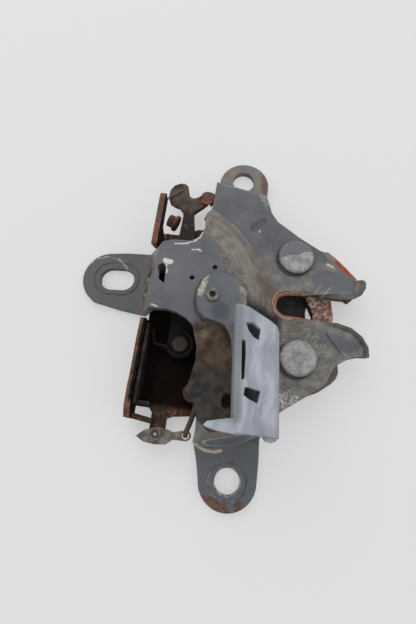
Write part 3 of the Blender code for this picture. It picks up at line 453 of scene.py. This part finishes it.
def earPaint():
    # the three bolt ears and the walls down to them: bluer paint, dusty roots, arcs round the bolts, rust
    b, colour = platePaint("earPaint")
    ragged = b.warped(5.0, 5.5)
    torn = b.warped(1.8, 1.6)
    tornX, tornY = b.plan(torn)
    facing = b.facing()
    blotch = b.fade(b.noise(3.4, 6.0, 0.6), 0.35, 0.62)
    colour = b.mix(b.fade(b.y, -50.0, -58.0), colour, paint["ear"])
    colour = b.mix(b.both(b.fade(b.x, -52.0, -56.0), 0.75), colour, earLook["leftEar"])
    side = b.both(b.fade(tornY, -46.0, -50.0), b.fade(b.y, -51.0, -48.0), 0.8)
    colour = b.mix(side, colour, b.mix(blotch, earLook["sideDark"], earLook["sideLight"]))
    # dust on the left ear's root, on its wall and down to the bottom ear
    root = b.both(b.fade(tornX, -60.0, -53.5), b.fade(b.x, -47.8, -49.2))
    colour = b.mix(b.both(root, b.blend(blotch, 0.35, 0.75)), colour, earLook["root"])
    nick = b.most(b.stroke(torn, (-50.4, -9.4), (-50.6, 1.5), 0.2, 1.5),
                  b.stroke(torn, (-50.2, 7.5), (-50.0, 15.0), 0.2, 1.4))
    colour = b.mix(b.both(nick, b.fade(b.noise(1.2, 4.0), 0.40, 0.52), 0.7), colour, earLook["nick"])
    seam = b.both(b.fade(b.y, -45.5, -48.5), b.fade(b.y, -55.6, -53.0), b.fade(b.z, 3.0, 5.0))
    colour = b.mix(b.both(seam, b.blend(blotch, 0.35, 0.75)), colour, earLook["seam"])
    # painted light and shade for a low dome on the wall: a bluer oval with a pale painted highlight round it
    oval = b.vector("LENGTH", b.vector("MULTIPLY", b.vector("SUBTRACT", b.place, (-15.5, -50.0, 10.0)),
                                       (1 / 8.5, 0.0, 1 / 6.0)))
    wallOnly = b.both(b.fade(b.y, -46.5, -48.0), b.fade(b.y, -56.0, -55.0))
    colour = b.mix(b.both(b.fade(oval, 1.0, 0.9), wallOnly), colour, earLook["oval"])
    colour = b.mix(b.both(b.fade(oval, 1.12, 1.03), b.fade(oval, 0.90, 0.98), wallOnly, 0.7), colour,
                   earLook["ovalRimHighlight"])
    # painted highlight: the lit lip of the wall where it overhangs the bottom ear
    lip = b.both(b.path(b.warped(2.0, 0.6), [(-27.2, -53.2), (-23.7, -54.8), (-20.2, -55.1), (-17.6, -54.3)],
                        0.25, 0.8), b.fade(b.z, 9.0, 6.0))
    colour = b.mix(b.both(lip, 0.9), colour, earLook["lip"])
    arcs = b.both(b.ringMark(torn, bolts["bottom"], 6.75, 6.85, 0.2), b.fade(b.noise(3.4, 3.0), 0.48, 0.58))
    inside = b.both(b.ringMark(torn, bolts["bottom"], 4.5, 4.7, 0.3), b.fade(b.noise(2.4, 3.0), 0.42, 0.56))
    colour = b.mix(b.both(b.most(arcs, inside), 0.6), colour, earLook["boltArc"])
    leftArc = b.both(b.ringMark(torn, bolts["left"], 9.0, 9.2, 0.3), b.fade(b.y, 4.0, 8.0),
                     b.fade(b.noise(3.4, 3.0), 0.36, 0.5))
    colour = b.mix(b.both(leftArc, 0.6), colour, earLook["leftArc"])
    topDirt = b.both(b.fade(b.z, 5.0, 3.5), b.fade(b.y, 43.0, 44.0), b.blend(blotch, 0.25, 0.8))
    colour = b.mix(topDirt, colour, earLook["topDirt"])
    # the two small holes in the wall beside the window, and a dark run between them
    pits = b.most(b.stroke(torn, (-51.6, 4.9), (-54.4, 4.9), 0.8, 1.5),
                  b.stroke(torn, (-52.0, -1.2), (-54.2, -1.2), 0.7, 1.3),
                  b.both(b.stroke(torn, (-47.4, 3.0), (-51.4, 4.7), 0.2, 0.9), 0.6))
    colour = b.mix(b.both(pits, 0.9), colour, earLook["pit"])
    specks = b.most(b.spot(torn, (-53.6, 4.4), 0.4, 0.9), b.spot(torn, (-53.4, -1.6), 0.4, 0.9))
    colour = b.mix(b.both(specks, 0.85), colour, earLook["speck"])
    # rust: edge of the bottom ear, right of the top ear, the window
    bolt = b.vector("DISTANCE", b.flat(torn), bolts["bottom"] + (0.0,))
    earRust = b.both(b.fade(bolt, 7.2, 7.6), b.fade(tornY, -69.4, -70.2), b.fade(tornX, -7.0, -8.4))
    earRust = b.without(earRust, b.stroke(torn, (-12.4, -71.6), (-11.6, -72.6), 0.8, 1.7))
    earRust = b.most(earRust, b.both(b.stroke(torn, (-7.2, -65.0), (-7.3, -63.6), 0.1, 0.6), 0.8))
    topRust = b.both(b.stroke(torn, (-13.0, 58.4), (-11.4, 51.0), 0.8, 2.4), b.fade(b.z, 6.0, 4.0), 0.75)
    window = b.both(b.spot(torn, (-48.6, 2.6), 1.4, 3.2), b.fade(b.x, -46.4, -47.4), 0.45)
    rusted = b.most(earRust, topRust, window)
    rustColour = rustColours(b)[0]
    colour = b.mix(b.both(rusted, 0.9), colour, rustColour)
    return plateFinish(b, colour, facing, rusted, 0.0, earLook["shine"])


boxLook = {
    "oldPaint": tone(74, 72, 72), "grease": tone(15, 13, 12), "fringe": tone(50, 40, 33),
    "strap": tone(44, 38, 34), "pocketDark": tone(44, 44, 47), "pocketLight": tone(58, 58, 60),
    "stripBright": tone(176, 84, 54), "stripDull": tone(150, 84, 60), "stripEnd": tone(134, 128, 118),
    "tab": tone(118, 112, 102), "wallSideShade": tone(16, 13, 12), "radius": 0.4, "relief": 0.22,
}


def rustySteel(name, dull=0.0, darkInside=False, rough=0.75):
    # rusted sheet: bright on its edges, darker on its faces
    b = Board(name)
    colour, fine = rustColours(b, None, dull)
    rounded = b.rounded(boxLook["radius"])
    edges = b.edge(rounded)
    facing = b.facing()
    shine = 0.3 * (1.0 - dull)
    paintLeft = b.both(b.fade(b.noise(4.0, 5.0), 0.50, 0.60), 0.8)
    colour = b.mix(paintLeft, colour, boxLook["oldPaint"])
    if darkInside:
        # inside the box painted near-black, the painted shade of the deep box; the floor under the slot dark
        # grey
        inner = b.both(b.fade(b.x, -51.6, -50.8), b.fade(b.x, -26.0, -30.0), b.fade(b.y, -44.0, -41.0),
                       b.fade(b.y, 12.0, 8.0))
        colour = b.mix(b.both(inner, b.blend(b.noise(4.0), 0.94, 0.99)), colour, boxLook["grease"])
        fringe = b.both(b.fade(b.y, -40.0, -43.5), b.fade(b.y, -49.5, -48.5), b.fade(b.z, 12.0, 9.0),
                        b.fade(b.x, -50.0, -49.0))
        colour = b.mix(b.both(fringe, b.fade(b.noise(1.6, 5.0), 0.62, 0.5), 0.85), colour, boxLook["fringe"])
        strap = b.both(b.fade(b.y, -48.0, -50.0), b.fade(b.noise(1.8, 5.0), 0.64, 0.52), 0.9)
        colour = b.mix(strap, colour, boxLook["strap"])
        shine = b.blend(inner, 0.25, 0.02)
        pocket = b.spot(b.place, (2.0, 0.0), 9.0, 11.0)
        colour = b.mix(pocket, colour, b.mix(b.fade(b.noise(3.0), 0.4, 0.6), boxLook["pocketDark"],
                                             boxLook["pocketLight"]))
        # bright rust and a tan end on the strip by the upper horn, dusty grey on the lower tab
        strip = b.both(b.fade(b.x, 10.0, 12.0), b.fade(b.y, 13.0, 15.0))
        colour = b.mix(b.both(strip, 0.75), colour, b.mix(b.fade(b.noise(2.4, 5.0), 0.42, 0.6),
                                                          boxLook["stripBright"], boxLook["stripDull"]))
        tanEnd = b.both(strip, b.fade(b.math("SUBTRACT", b.x, b.y), -3.6, -6.0))
        colour = b.mix(b.both(tanEnd, 0.85), colour, boxLook["stripEnd"])
        tab = b.both(b.fade(b.x, 10.0, 12.0), b.fade(b.y, -15.0, -17.0))
        colour = b.mix(b.both(tab, b.blend(b.fade(b.noise(1.2, 5.0), 0.4, 0.6), 0.7, 0.95)), colour,
                       boxLook["tab"])
        # painted shade: the sides of the box's wall are near-black
        wallSideShade = b.both(b.fade(b.x, -51.0, -50.4), b.fade(b.x, -48.9, -49.4), b.fade(facing, 0.6, 0.2))
        colour = b.mix(b.both(wallSideShade, 0.97), colour, boxLook["wallSideShade"])
    else:
        colour = b.mix(b.both(b.fade(facing, 0.5, 0.1), 0.25), colour, rust["black"])
    colour = b.mix(b.both(edges, b.fade(b.noise(2.5), 0.4, 0.6), 0.5 * (1.0 - dull)), colour, rust["orange"])
    bump = b.math("ADD", fine, b.both(b.noise(2.6, 5.0), 1.2))
    return b.finish(colour, rough, bump, boxLook["relief"], rounded, shine)


leverLook = {
    "dark": tone(44, 40, 37), "light": tone(86, 76, 66), "stem": tone(40, 38, 37),
    "shadeInBox": tone(20, 17, 15), "rough": 0.65, "relief": 0.2,
}


def darkLever():
    # dark worn paint, rusty along the edges
    b = Board("darkLever")
    rustColour, fine = rustColours(b)
    rounded = b.rounded(0.7)
    edges = b.edge(rounded)
    colour = b.mix(b.fade(b.noise(5.0, 5.0), 0.36, 0.62), leverLook["dark"], leverLook["light"])
    stem = b.both(b.fade(b.y, 36.5, 33.5), b.fade(b.noise(3.0, 5.0), 0.30, 0.42))
    colour = b.mix(b.both(stem, 0.85), colour, leverLook["stem"])
    # painted shade: near-black where the lever runs down into the box
    colour = b.mix(b.both(b.fade(b.y, 12.0, -4.0), 0.95), colour, leverLook["shadeInBox"])
    worn = b.most(b.both(edges, 0.85), b.fade(b.noise(2.6, 6.0), 0.60, 0.68))
    worn = b.both(worn, b.fade(b.y, 10.0, 22.0))
    colour = b.mix(worn, colour, rustColour)
    bump = b.math("ADD", fine, b.noise(2.2, 4.0))
    return b.finish(colour, leverLook["rough"], bump, leverLook["relief"], rounded, 0.2)


cableLeverLook = {
    "dark": tone(80, 73, 66), "light": tone(124, 116, 108), "edge": tone(176, 166, 152), "rough": 0.7,
}


def dustyLever():
    # the small lever at the lower left: grey-brown with dust and a rusty edge
    b = Board("dustyLever")
    rounded = b.rounded(0.6)
    edges = b.edge(rounded)
    colour = b.mix(b.fade(b.noise(3.0, 6.0), 0.36, 0.62), cableLeverLook["dark"], cableLeverLook["light"])
    rustColour, fine = rustColours(b)
    colour = b.mix(b.both(b.fade(b.facing(), 0.6, 0.2), 0.7), colour, rustColour)
    colour = b.mix(b.both(edges, b.fade(b.noise(2.0), 0.45, 0.6), 0.7), colour, cableLeverLook["edge"])
    return b.finish(colour, cableLeverLook["rough"], b.math("ADD", fine, b.noise(2.0)), 0.16, rounded)


catchLook = {
    "steel": tone(104, 66, 56), "band": tone(46, 42, 38), "crumbs": tone(196, 176, 160),
    "sides": tone(50, 40, 34), "rough": 0.5, "wetRough": 0.22,
}


def catchSteel():
    # the catch: brown rust with wet grease and pale crumbs along its left side
    b = Board("catchSteel")
    ragged = b.warped(2.4, 2.6)
    rustColour, fine = rustColours(b, ragged)
    colour = b.mix(0.45, rustColour, catchLook["steel"])
    band = b.stroke(ragged, (6.6, 5.4), (10.9, -3.4), 0.6, 2.0)
    colour = b.mix(b.both(band, 0.85), colour, catchLook["band"])
    grease = b.fade(b.noise(1.3, 6.0, 0.7, ragged), 0.51, 0.57)
    colour = b.mix(b.both(grease, b.stroke(b.place, (8.6, 5.0), (17.0, -3.0), 4.2, 6.4), 0.7), colour,
                   catchLook["crumbs"])
    rounded = b.rounded(0.5)
    edges = b.edge(rounded)
    colour = b.mix(b.both(edges, b.fade(b.x, 13.0, 16.5), 0.6), colour, rust["bright"])
    colour = b.mix(b.both(b.fade(b.facing(), 0.5, 0.1), 0.6), colour, catchLook["sides"])
    rough = b.blend(grease, catchLook["rough"], catchLook["wetRough"])
    bump = b.math("ADD", fine, b.both(b.noise(1.5, 6.0, 0.7, ragged), 2.0))
    return b.finish(colour, rough, bump, 0.26, rounded)


rivetLook = {
    "bareDark": tone(122, 124, 126), "bareLight": tone(156, 156, 154), "paint": tone(98, 100, 104),
    "pits": tone(60, 56, 52), "middle": tone(92, 96, 104), "dustyRim": tone(122, 112, 100),
    "side": tone(46, 41, 37), "shank": tone(60, 46, 38), "rough": 0.6, "relief": 0.12,
}


def rivetFace(name, centre, bare):
    # worn rivet head: paint left on one side, scuffed pale metal on the other, dirt at its foot
    b = Board(name)
    ragged = b.warped(3.0, 3.0)
    cut = b.vector("DOT_PRODUCT", b.vector("SUBTRACT", b.flat(ragged), (centre[0], centre[1], 0.0)),
                   (-0.35, 0.94, 0.0))
    cover = b.fade(cut, 0.2 + bare, 0.8 + bare)
    scuffed = b.mix(b.fade(b.noise(2.2, 6.0, 0.65), 0.36, 0.62), rivetLook["bareDark"],
                    rivetLook["bareLight"])
    colour = b.mix(cover, scuffed, rivetLook["paint"])
    colour = b.mix(b.both(b.fade(b.noise(0.9, 3.0), 0.35, 0.30), 0.8), colour, rivetLook["pits"])
    colour = b.mix(b.both(b.fade(b.noise(0.6, 3.0), 0.64, 0.70), 0.5), colour, dirt["grit"])
    colour = b.mix(b.both(b.spot(ragged, centre, 1.2, 3.0), 0.35), colour, rivetLook["middle"])
    away = b.vector("DISTANCE", b.flat(ragged), (centre[0], centre[1], 0.0))
    colour = b.mix(b.both(b.fade(away, 5.4, 6.6), 0.55), colour, rivetLook["dustyRim"])
    colour = b.mix(b.both(b.fade(b.facing(), 0.6, 0.2), 0.9), colour, rivetLook["side"])
    colour = b.mix(b.fade(b.z, 12.0, 10.0), colour, rivetLook["shank"])
    rounded = b.rounded(0.4)
    bump = b.math("ADD", b.noise(0.6, 4.0, 0.7), b.both(b.noise(2.5), 1.5))
    return b.finish(colour, rivetLook["rough"], bump, rivetLook["relief"], rounded)


bracketLook = {
    "dark": tone(134, 140, 152), "light": tone(166, 171, 181), "footCloud": tone(80, 84, 90),
    "scuffDark": tone(132, 130, 120), "scuffLight": tone(176, 175, 166), "footSpot": tone(48, 54, 66),
    "bend": tone(112, 114, 117), "rim": tone(118, 122, 130), "lowEndShade": tone(118, 121, 127),
    "brownWall": tone(104, 96, 86), "endFace": tone(96, 98, 102), "inside": tone(70, 72, 76),
    "edge": tone(172, 175, 180), "rough": 0.34, "footRough": 0.5,
}


def bracketPaintAndReflection():
    # grey-blue with faint pale streaks, the painted reflection of bluish light on the flange's dark grey
    # paint; dark deck paint on the foot
    b = Board("bracketPaintAndReflection")
    flow = b.vector("MULTIPLY", b.warped(9.0, 5.0), (1 / 3.2, 1 / 14.0, 1 / 6.0))
    streaks = b.tree.nodes.new("ShaderNodeTexNoise")
    b.tree.links.new(flow, streaks.inputs["Vector"])
    streaks.inputs["Scale"].default_value = 1.0
    streaks.inputs["Detail"].default_value = 4.0
    # the flange's light grey-blue is a painted reflection
    colour = b.mix(b.fade(streaks.outputs[0], 0.36, 0.66), bracketLook["dark"], bracketLook["light"])
    low = b.fade(b.z, 33.0, 27.0)
    torn = b.warped(2.0, 1.6)
    footPaint = b.mix(b.fade(b.noise(8.0), 0.35, 0.65), paint["deck"], bracketLook["footCloud"])
    scuff = b.both(b.stroke(torn, (-31.6, -4.0), (-30.6, 2.0), 0.9, 1.7), b.fade(b.x, -28.6, -29.4))
    pale = b.mix(b.fade(b.noise(0.9, 4.0), 0.42, 0.58), bracketLook["scuffDark"], bracketLook["scuffLight"])
    footPaint = b.mix(b.both(scuff, b.fade(b.noise(0.7, 3.0), 0.33, 0.46)), footPaint, pale)
    footPaint = b.mix(b.both(b.spot(torn, (-24.0, -9.6), 2.0, 4.2), 0.75), footPaint, bracketLook["footSpot"])
    reach = b.ellipse(torn, raisedDeck["centre"], raisedDeck["radii"])
    tanMask = b.both(b.fade(reach, 0.76, 0.79), b.fade(b.y, -9.0, -5.0))
    tan = b.mix(b.fade(b.noise(2.6, 6.0, 0.7), 0.38, 0.66), dirt["brown"], dirt["tan"])
    footPaint = b.mix(b.both(tanMask, 0.9), footPaint, tan)
    colour = b.mix(low, colour, footPaint)
    lean = b.math("ADD", b.x, b.both(b.y, bracketLean))
    bend = b.both(b.fade(b.z, 44.0, 46.0), b.fade(lean, -17.6, -19.4), b.fade(b.y, -47.0, -45.0))
    colour = b.mix(b.both(bend, 0.7), colour, bracketLook["bend"])
    rim = b.both(b.fade(b.z, 44.0, 46.0), b.fade(lean, -10.2, -9.2))
    colour = b.mix(b.both(rim, 0.45), colour, bracketLook["rim"])
    # painted shade: the curl at the flange's low right end is painted darker
    footShadow = b.both(b.fade(b.z, 44.0, 46.0), b.fade(b.y, -44.0, -48.0), b.fade(lean, -15.0, -13.0))
    colour = b.mix(b.both(footShadow, 0.45), colour, bracketLook["lowEndShade"])
    brownWall = b.both(b.fade(b.z, 44.0, 26.0), b.fade(b.y, -14.0, -18.0))
    colour = b.mix(b.both(brownWall, 0.8), colour, bracketLook["brownWall"])
    colour = b.mix(b.both(b.fade(b.y, -45.5, -48.5), b.fade(b.z, 48.6, 46.0), 0.15), colour,
                   bracketLook["endFace"])
    # painted shade: the inside of the flange and its windows, the faces that look down, are darker
    colour = b.mix(b.both(b.fade(b.facing(), 0.0, -0.6), 0.6), colour, bracketLook["inside"])
    rounded = b.rounded(0.8, 6)
    edges = b.edge(rounded)
    colour = b.mix(b.both(edges, b.fade(b.z, 47.6, 49.4), 0.35), colour, bracketLook["edge"])
    rough = b.blend(low, bracketLook["rough"], bracketLook["footRough"])
    return b.finish(colour, rough, b.noise(3.0, 3.0), 0.10, rounded)


smallRivetLook = {
    "dark": tone(92, 88, 82), "light": tone(116, 112, 104), "hole": tone(18, 15, 13),
    "side": tone(62, 56, 50),
}


def smallRivet():
    # the bracket's rivet: dull grey head with a dark hole in its middle
    b = Board("smallRivet")
    away = b.vector("DISTANCE", b.flat(b.place), bracketRivetAt)
    colour = b.mix(b.fade(b.noise(1.4, 4.0), 0.4, 0.6), smallRivetLook["dark"], smallRivetLook["light"])
    colour = b.mix(b.both(b.fade(away, 1.0, 0.75), 0.96), colour, smallRivetLook["hole"])
    colour = b.mix(b.both(b.fade(b.facing(), 0.7, 0.3), 0.8), colour, smallRivetLook["side"])
    rounded = b.rounded(0.3)
    return b.finish(colour, 0.6, b.noise(0.6), 0.08, rounded)


studEdge = {
    "colour": tone(150, 142, 132),
}


def wornPin(name, shade, dull):
    # stud and pin heads: dull metal with rust in the corners
    b = Board(name)
    rustColour, fine = rustColours(b, None, dull)
    colour = b.mix(b.fade(b.noise(1.6, 5.0), 0.42, 0.6), shade, rustColour)
    rounded = b.rounded(0.3)
    edges = b.edge(rounded)
    colour = b.mix(b.both(edges, 0.4), colour, studEdge["colour"])
    return b.finish(colour, 0.6, fine, 0.12, rounded, 0.2)


pinLook = {
    "dark": tone(88, 82, 76), "light": tone(118, 112, 104), "ring": tone(38, 36, 34),
    "middle": tone(150, 148, 144),
}


def pinHead():
    # the cable lever's pin: the lever's own dust over it, a dark ring and a light middle
    b = Board("pinHead")
    away = b.vector("DISTANCE", b.flat(b.place), cablePinAt)
    colour = b.mix(b.fade(b.noise(1.4, 5.0), 0.4, 0.6), pinLook["dark"], pinLook["light"])
    colour = b.mix(b.both(b.fade(away, 1.5, 1.2), 0.9), colour, pinLook["ring"])
    colour = b.mix(b.both(b.fade(away, 0.75, 0.5), 0.9), colour, pinLook["middle"])
    rounded = b.rounded(0.3)
    return b.finish(colour, 0.6, b.noise(0.7), 0.1, rounded, 0.3)


def springSteel(name, shade, rusty):
    # wire in its given dark colour, rusty in patches; on the stud spring the near-black is painted shade
    b = Board(name)
    rustColour, fine = rustColours(b)
    colour = b.mix(b.both(b.fade(b.noise(2.0, 5.0), 0.42, 0.58), rusty), shade, rustColour)
    return b.finish(colour, 0.6, fine, 0.08, None, 0.15)


# studSpring is near-black as painted shade of the box it sits in
wires = {
    "leaf": tone(60, 56, 52), "studSpring": tone(20, 17, 15), "flag": tone(104, 92, 80),
    "kick": tone(60, 44, 36), "link": tone(78, 70, 62), "stud": tone(62, 52, 44),
}
finishes = {
    "front_plate": deckPaint(),
    "back_plate": rustySteel("backPlateRust", 0.12, darkInside=True),
    # the liner is dulled almost to the dark dirt colour: painted shade of the box it lines
    "box_liner": rustySteel("linerRustInShade", 0.97, rough=0.6),
    "catch_claw": catchSteel(),
    "pawl": rustySteel("pawlRust", 0.6, rough=0.6),
    "catch_rivet": rivetFace("catchRivetFace", **rivets["catch_rivet"]),
    "pawl_rivet": rivetFace("pawlRivetFace", **rivets["pawl_rivet"]),
    "catch_spring": springSteel("catchSpringWire", wires["leaf"], 0.5),
    "pawl_spring": springSteel("pawlSpringWire", wires["leaf"], 0.5),
    "release_lever": darkLever(),
    "lever_hook": rustySteel("hookRust"),
    "lever_stud": wornPin("studMetal", wires["stud"], 0.75),
    "stud_spring": springSteel("studSpringWire", wires["studSpring"], 0.0),
    "stop_tube": rustySteel("tubeRust", 0.35),
    "tube_collar": rustySteel("collarRust"),
    "flag_wire": springSteel("flagWire", wires["flag"], 0.4),
    "spring_post": rustySteel("postRust"),
    "kick_spring": springSteel("kickSpringWire", wires["kick"], 0.8),
    "cable_lever": dustyLever(),
    "cable_pin": pinHead(),
    "link_wire": springSteel("linkWireRust", wires["link"], 0.5),
    "top_bracket": bracketPaintAndReflection(),
    "bracket_rivet": smallRivet(),
}
for name, look in finishes.items():
    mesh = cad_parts[name].data
    mesh.materials.clear()
    mesh.materials.append(look)
# the front plate's ears and their walls have their own paint, from the folds outwards
earFolds = {"bottom": -47.0, "left": -49.0, "topFrom": 40.0, "topUnder": 9.0}
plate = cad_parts["front_plate"].data
plate.materials.append(earPaint())
for face in plate.polygons:
    x, y, z = face.center.x * 1000 - slotEndAt[0], face.center.y * 1000 - slotEndAt[1], face.center.z * 1000
    onTopEar = z < earFolds["topUnder"] and y > earFolds["topFrom"]
    face.material_index = int(y < earFolds["bottom"] or x < earFolds["left"] or onTopEar)
print("finishes on", len(finishes), "nodes")

ground = {"colour": tone(222, 222, 222), "glow": tone(224, 224, 224), "glowShare": 0.55, "size": 3.0,
          "height": -0.0002, "rough": 0.7, "specular": 0.2}


def buildFloor():
    # a flat square sheet just under the ears' back faces
    half = ground["size"] / 2
    corners = np.array([[-half, -half, 0], [half, -half, 0], [half, half, 0], [-half, half, 0]], float)
    corners[:, 2] = ground["height"]
    mesh = bpy.data.meshes.new("floor")
    mesh.from_pydata(corners.tolist(), [], [(0, 1, 2, 3)])
    floor = bpy.data.objects.new("floor", mesh)
    bpy.context.scene.collection.objects.link(floor)
    material = bpy.data.materials.new("tableTop")
    material.use_nodes = True
    nodes, links = material.node_tree.nodes, material.node_tree.links
    shader = nodes["Principled BSDF"]
    shader.inputs["Base Color"].default_value = ground["colour"]
    shader.inputs["Roughness"].default_value = ground["rough"]
    shader.inputs["Specular IOR Level"].default_value = ground["specular"]
    # part of what the camera sees glows evenly, which thins the shadow
    glow = nodes.new("ShaderNodeEmission")
    glow.inputs["Color"].default_value = ground["glow"]
    rays = nodes.new("ShaderNodeLightPath")
    part = nodes.new("ShaderNodeMath")
    part.operation = "MULTIPLY"
    part.inputs[1].default_value = ground["glowShare"]
    links.new(rays.outputs["Is Camera Ray"], part.inputs[0])
    mixed = nodes.new("ShaderNodeMixShader")
    links.new(part.outputs[0], mixed.inputs[0])
    links.new(shader.outputs[0], mixed.inputs[1])
    links.new(glow.outputs[0], mixed.inputs[2])
    links.new(mixed.outputs[0], nodes["Material Output"].inputs["Surface"])
    mesh.materials.append(material)


studio = {"world": 0.78, "aim": (0.014, 0.057, 0.0)}
lamps = {"windowLight": {"place": (-0.336, 0.607, 0.75), "size": 1.1, "power": 3.2},
         "fillLight": {"place": (0.614, -0.243, 0.8), "size": 1.0, "power": 1.0}}


def addLamp(name, place, size, power):
    # a round soft lamp aimed at the latch
    lamp = bpy.data.lights.new(name, "AREA")
    lamp.shape = "DISK"
    lamp.size = size
    lamp.energy = power
    lampObject = bpy.data.objects.new(name, lamp)
    lampObject.location = place
    lampObject.rotation_euler = (Vector(studio["aim"]) - Vector(place)).to_track_quat("-Z", "Y").to_euler()
    bpy.context.scene.collection.objects.link(lampObject)


def buildWorld():
    # even white light from all round
    world = bpy.data.worlds.new("studio")
    world.use_nodes = True
    world.node_tree.nodes["Background"].inputs["Color"].default_value = (1.0, 1.0, 1.0, 1.0)
    world.node_tree.nodes["Background"].inputs["Strength"].default_value = studio["world"]
    bpy.context.scene.world = world


view = {"place": (-0.0084, 0.0054, 0.1665), "tilt": 16.34, "turn": 7.68, "lens": 25.38, "sensor": 36.0,
        "near": 0.01}


def buildCamera():
    # close above the latch, tilted and turned by so many degrees
    camera = bpy.data.objects.new("camera", bpy.data.cameras.new("camera"))
    camera.data.sensor_fit = "VERTICAL"
    camera.data.sensor_height = view["sensor"]
    camera.data.lens = view["lens"]
    camera.data.clip_start = view["near"]
    camera.location = view["place"]
    camera.rotation_euler = (math.radians(view["tilt"]), 0.0, math.radians(view["turn"]))
    bpy.context.scene.collection.objects.link(camera)
    bpy.context.scene.camera = camera


buildFloor()
buildWorld()
for name, lampLook in lamps.items():
    addLamp(name, **lampLook)
buildCamera()
bpy.context.scene.view_settings.view_transform = "Standard"
print("floor, light and camera set")
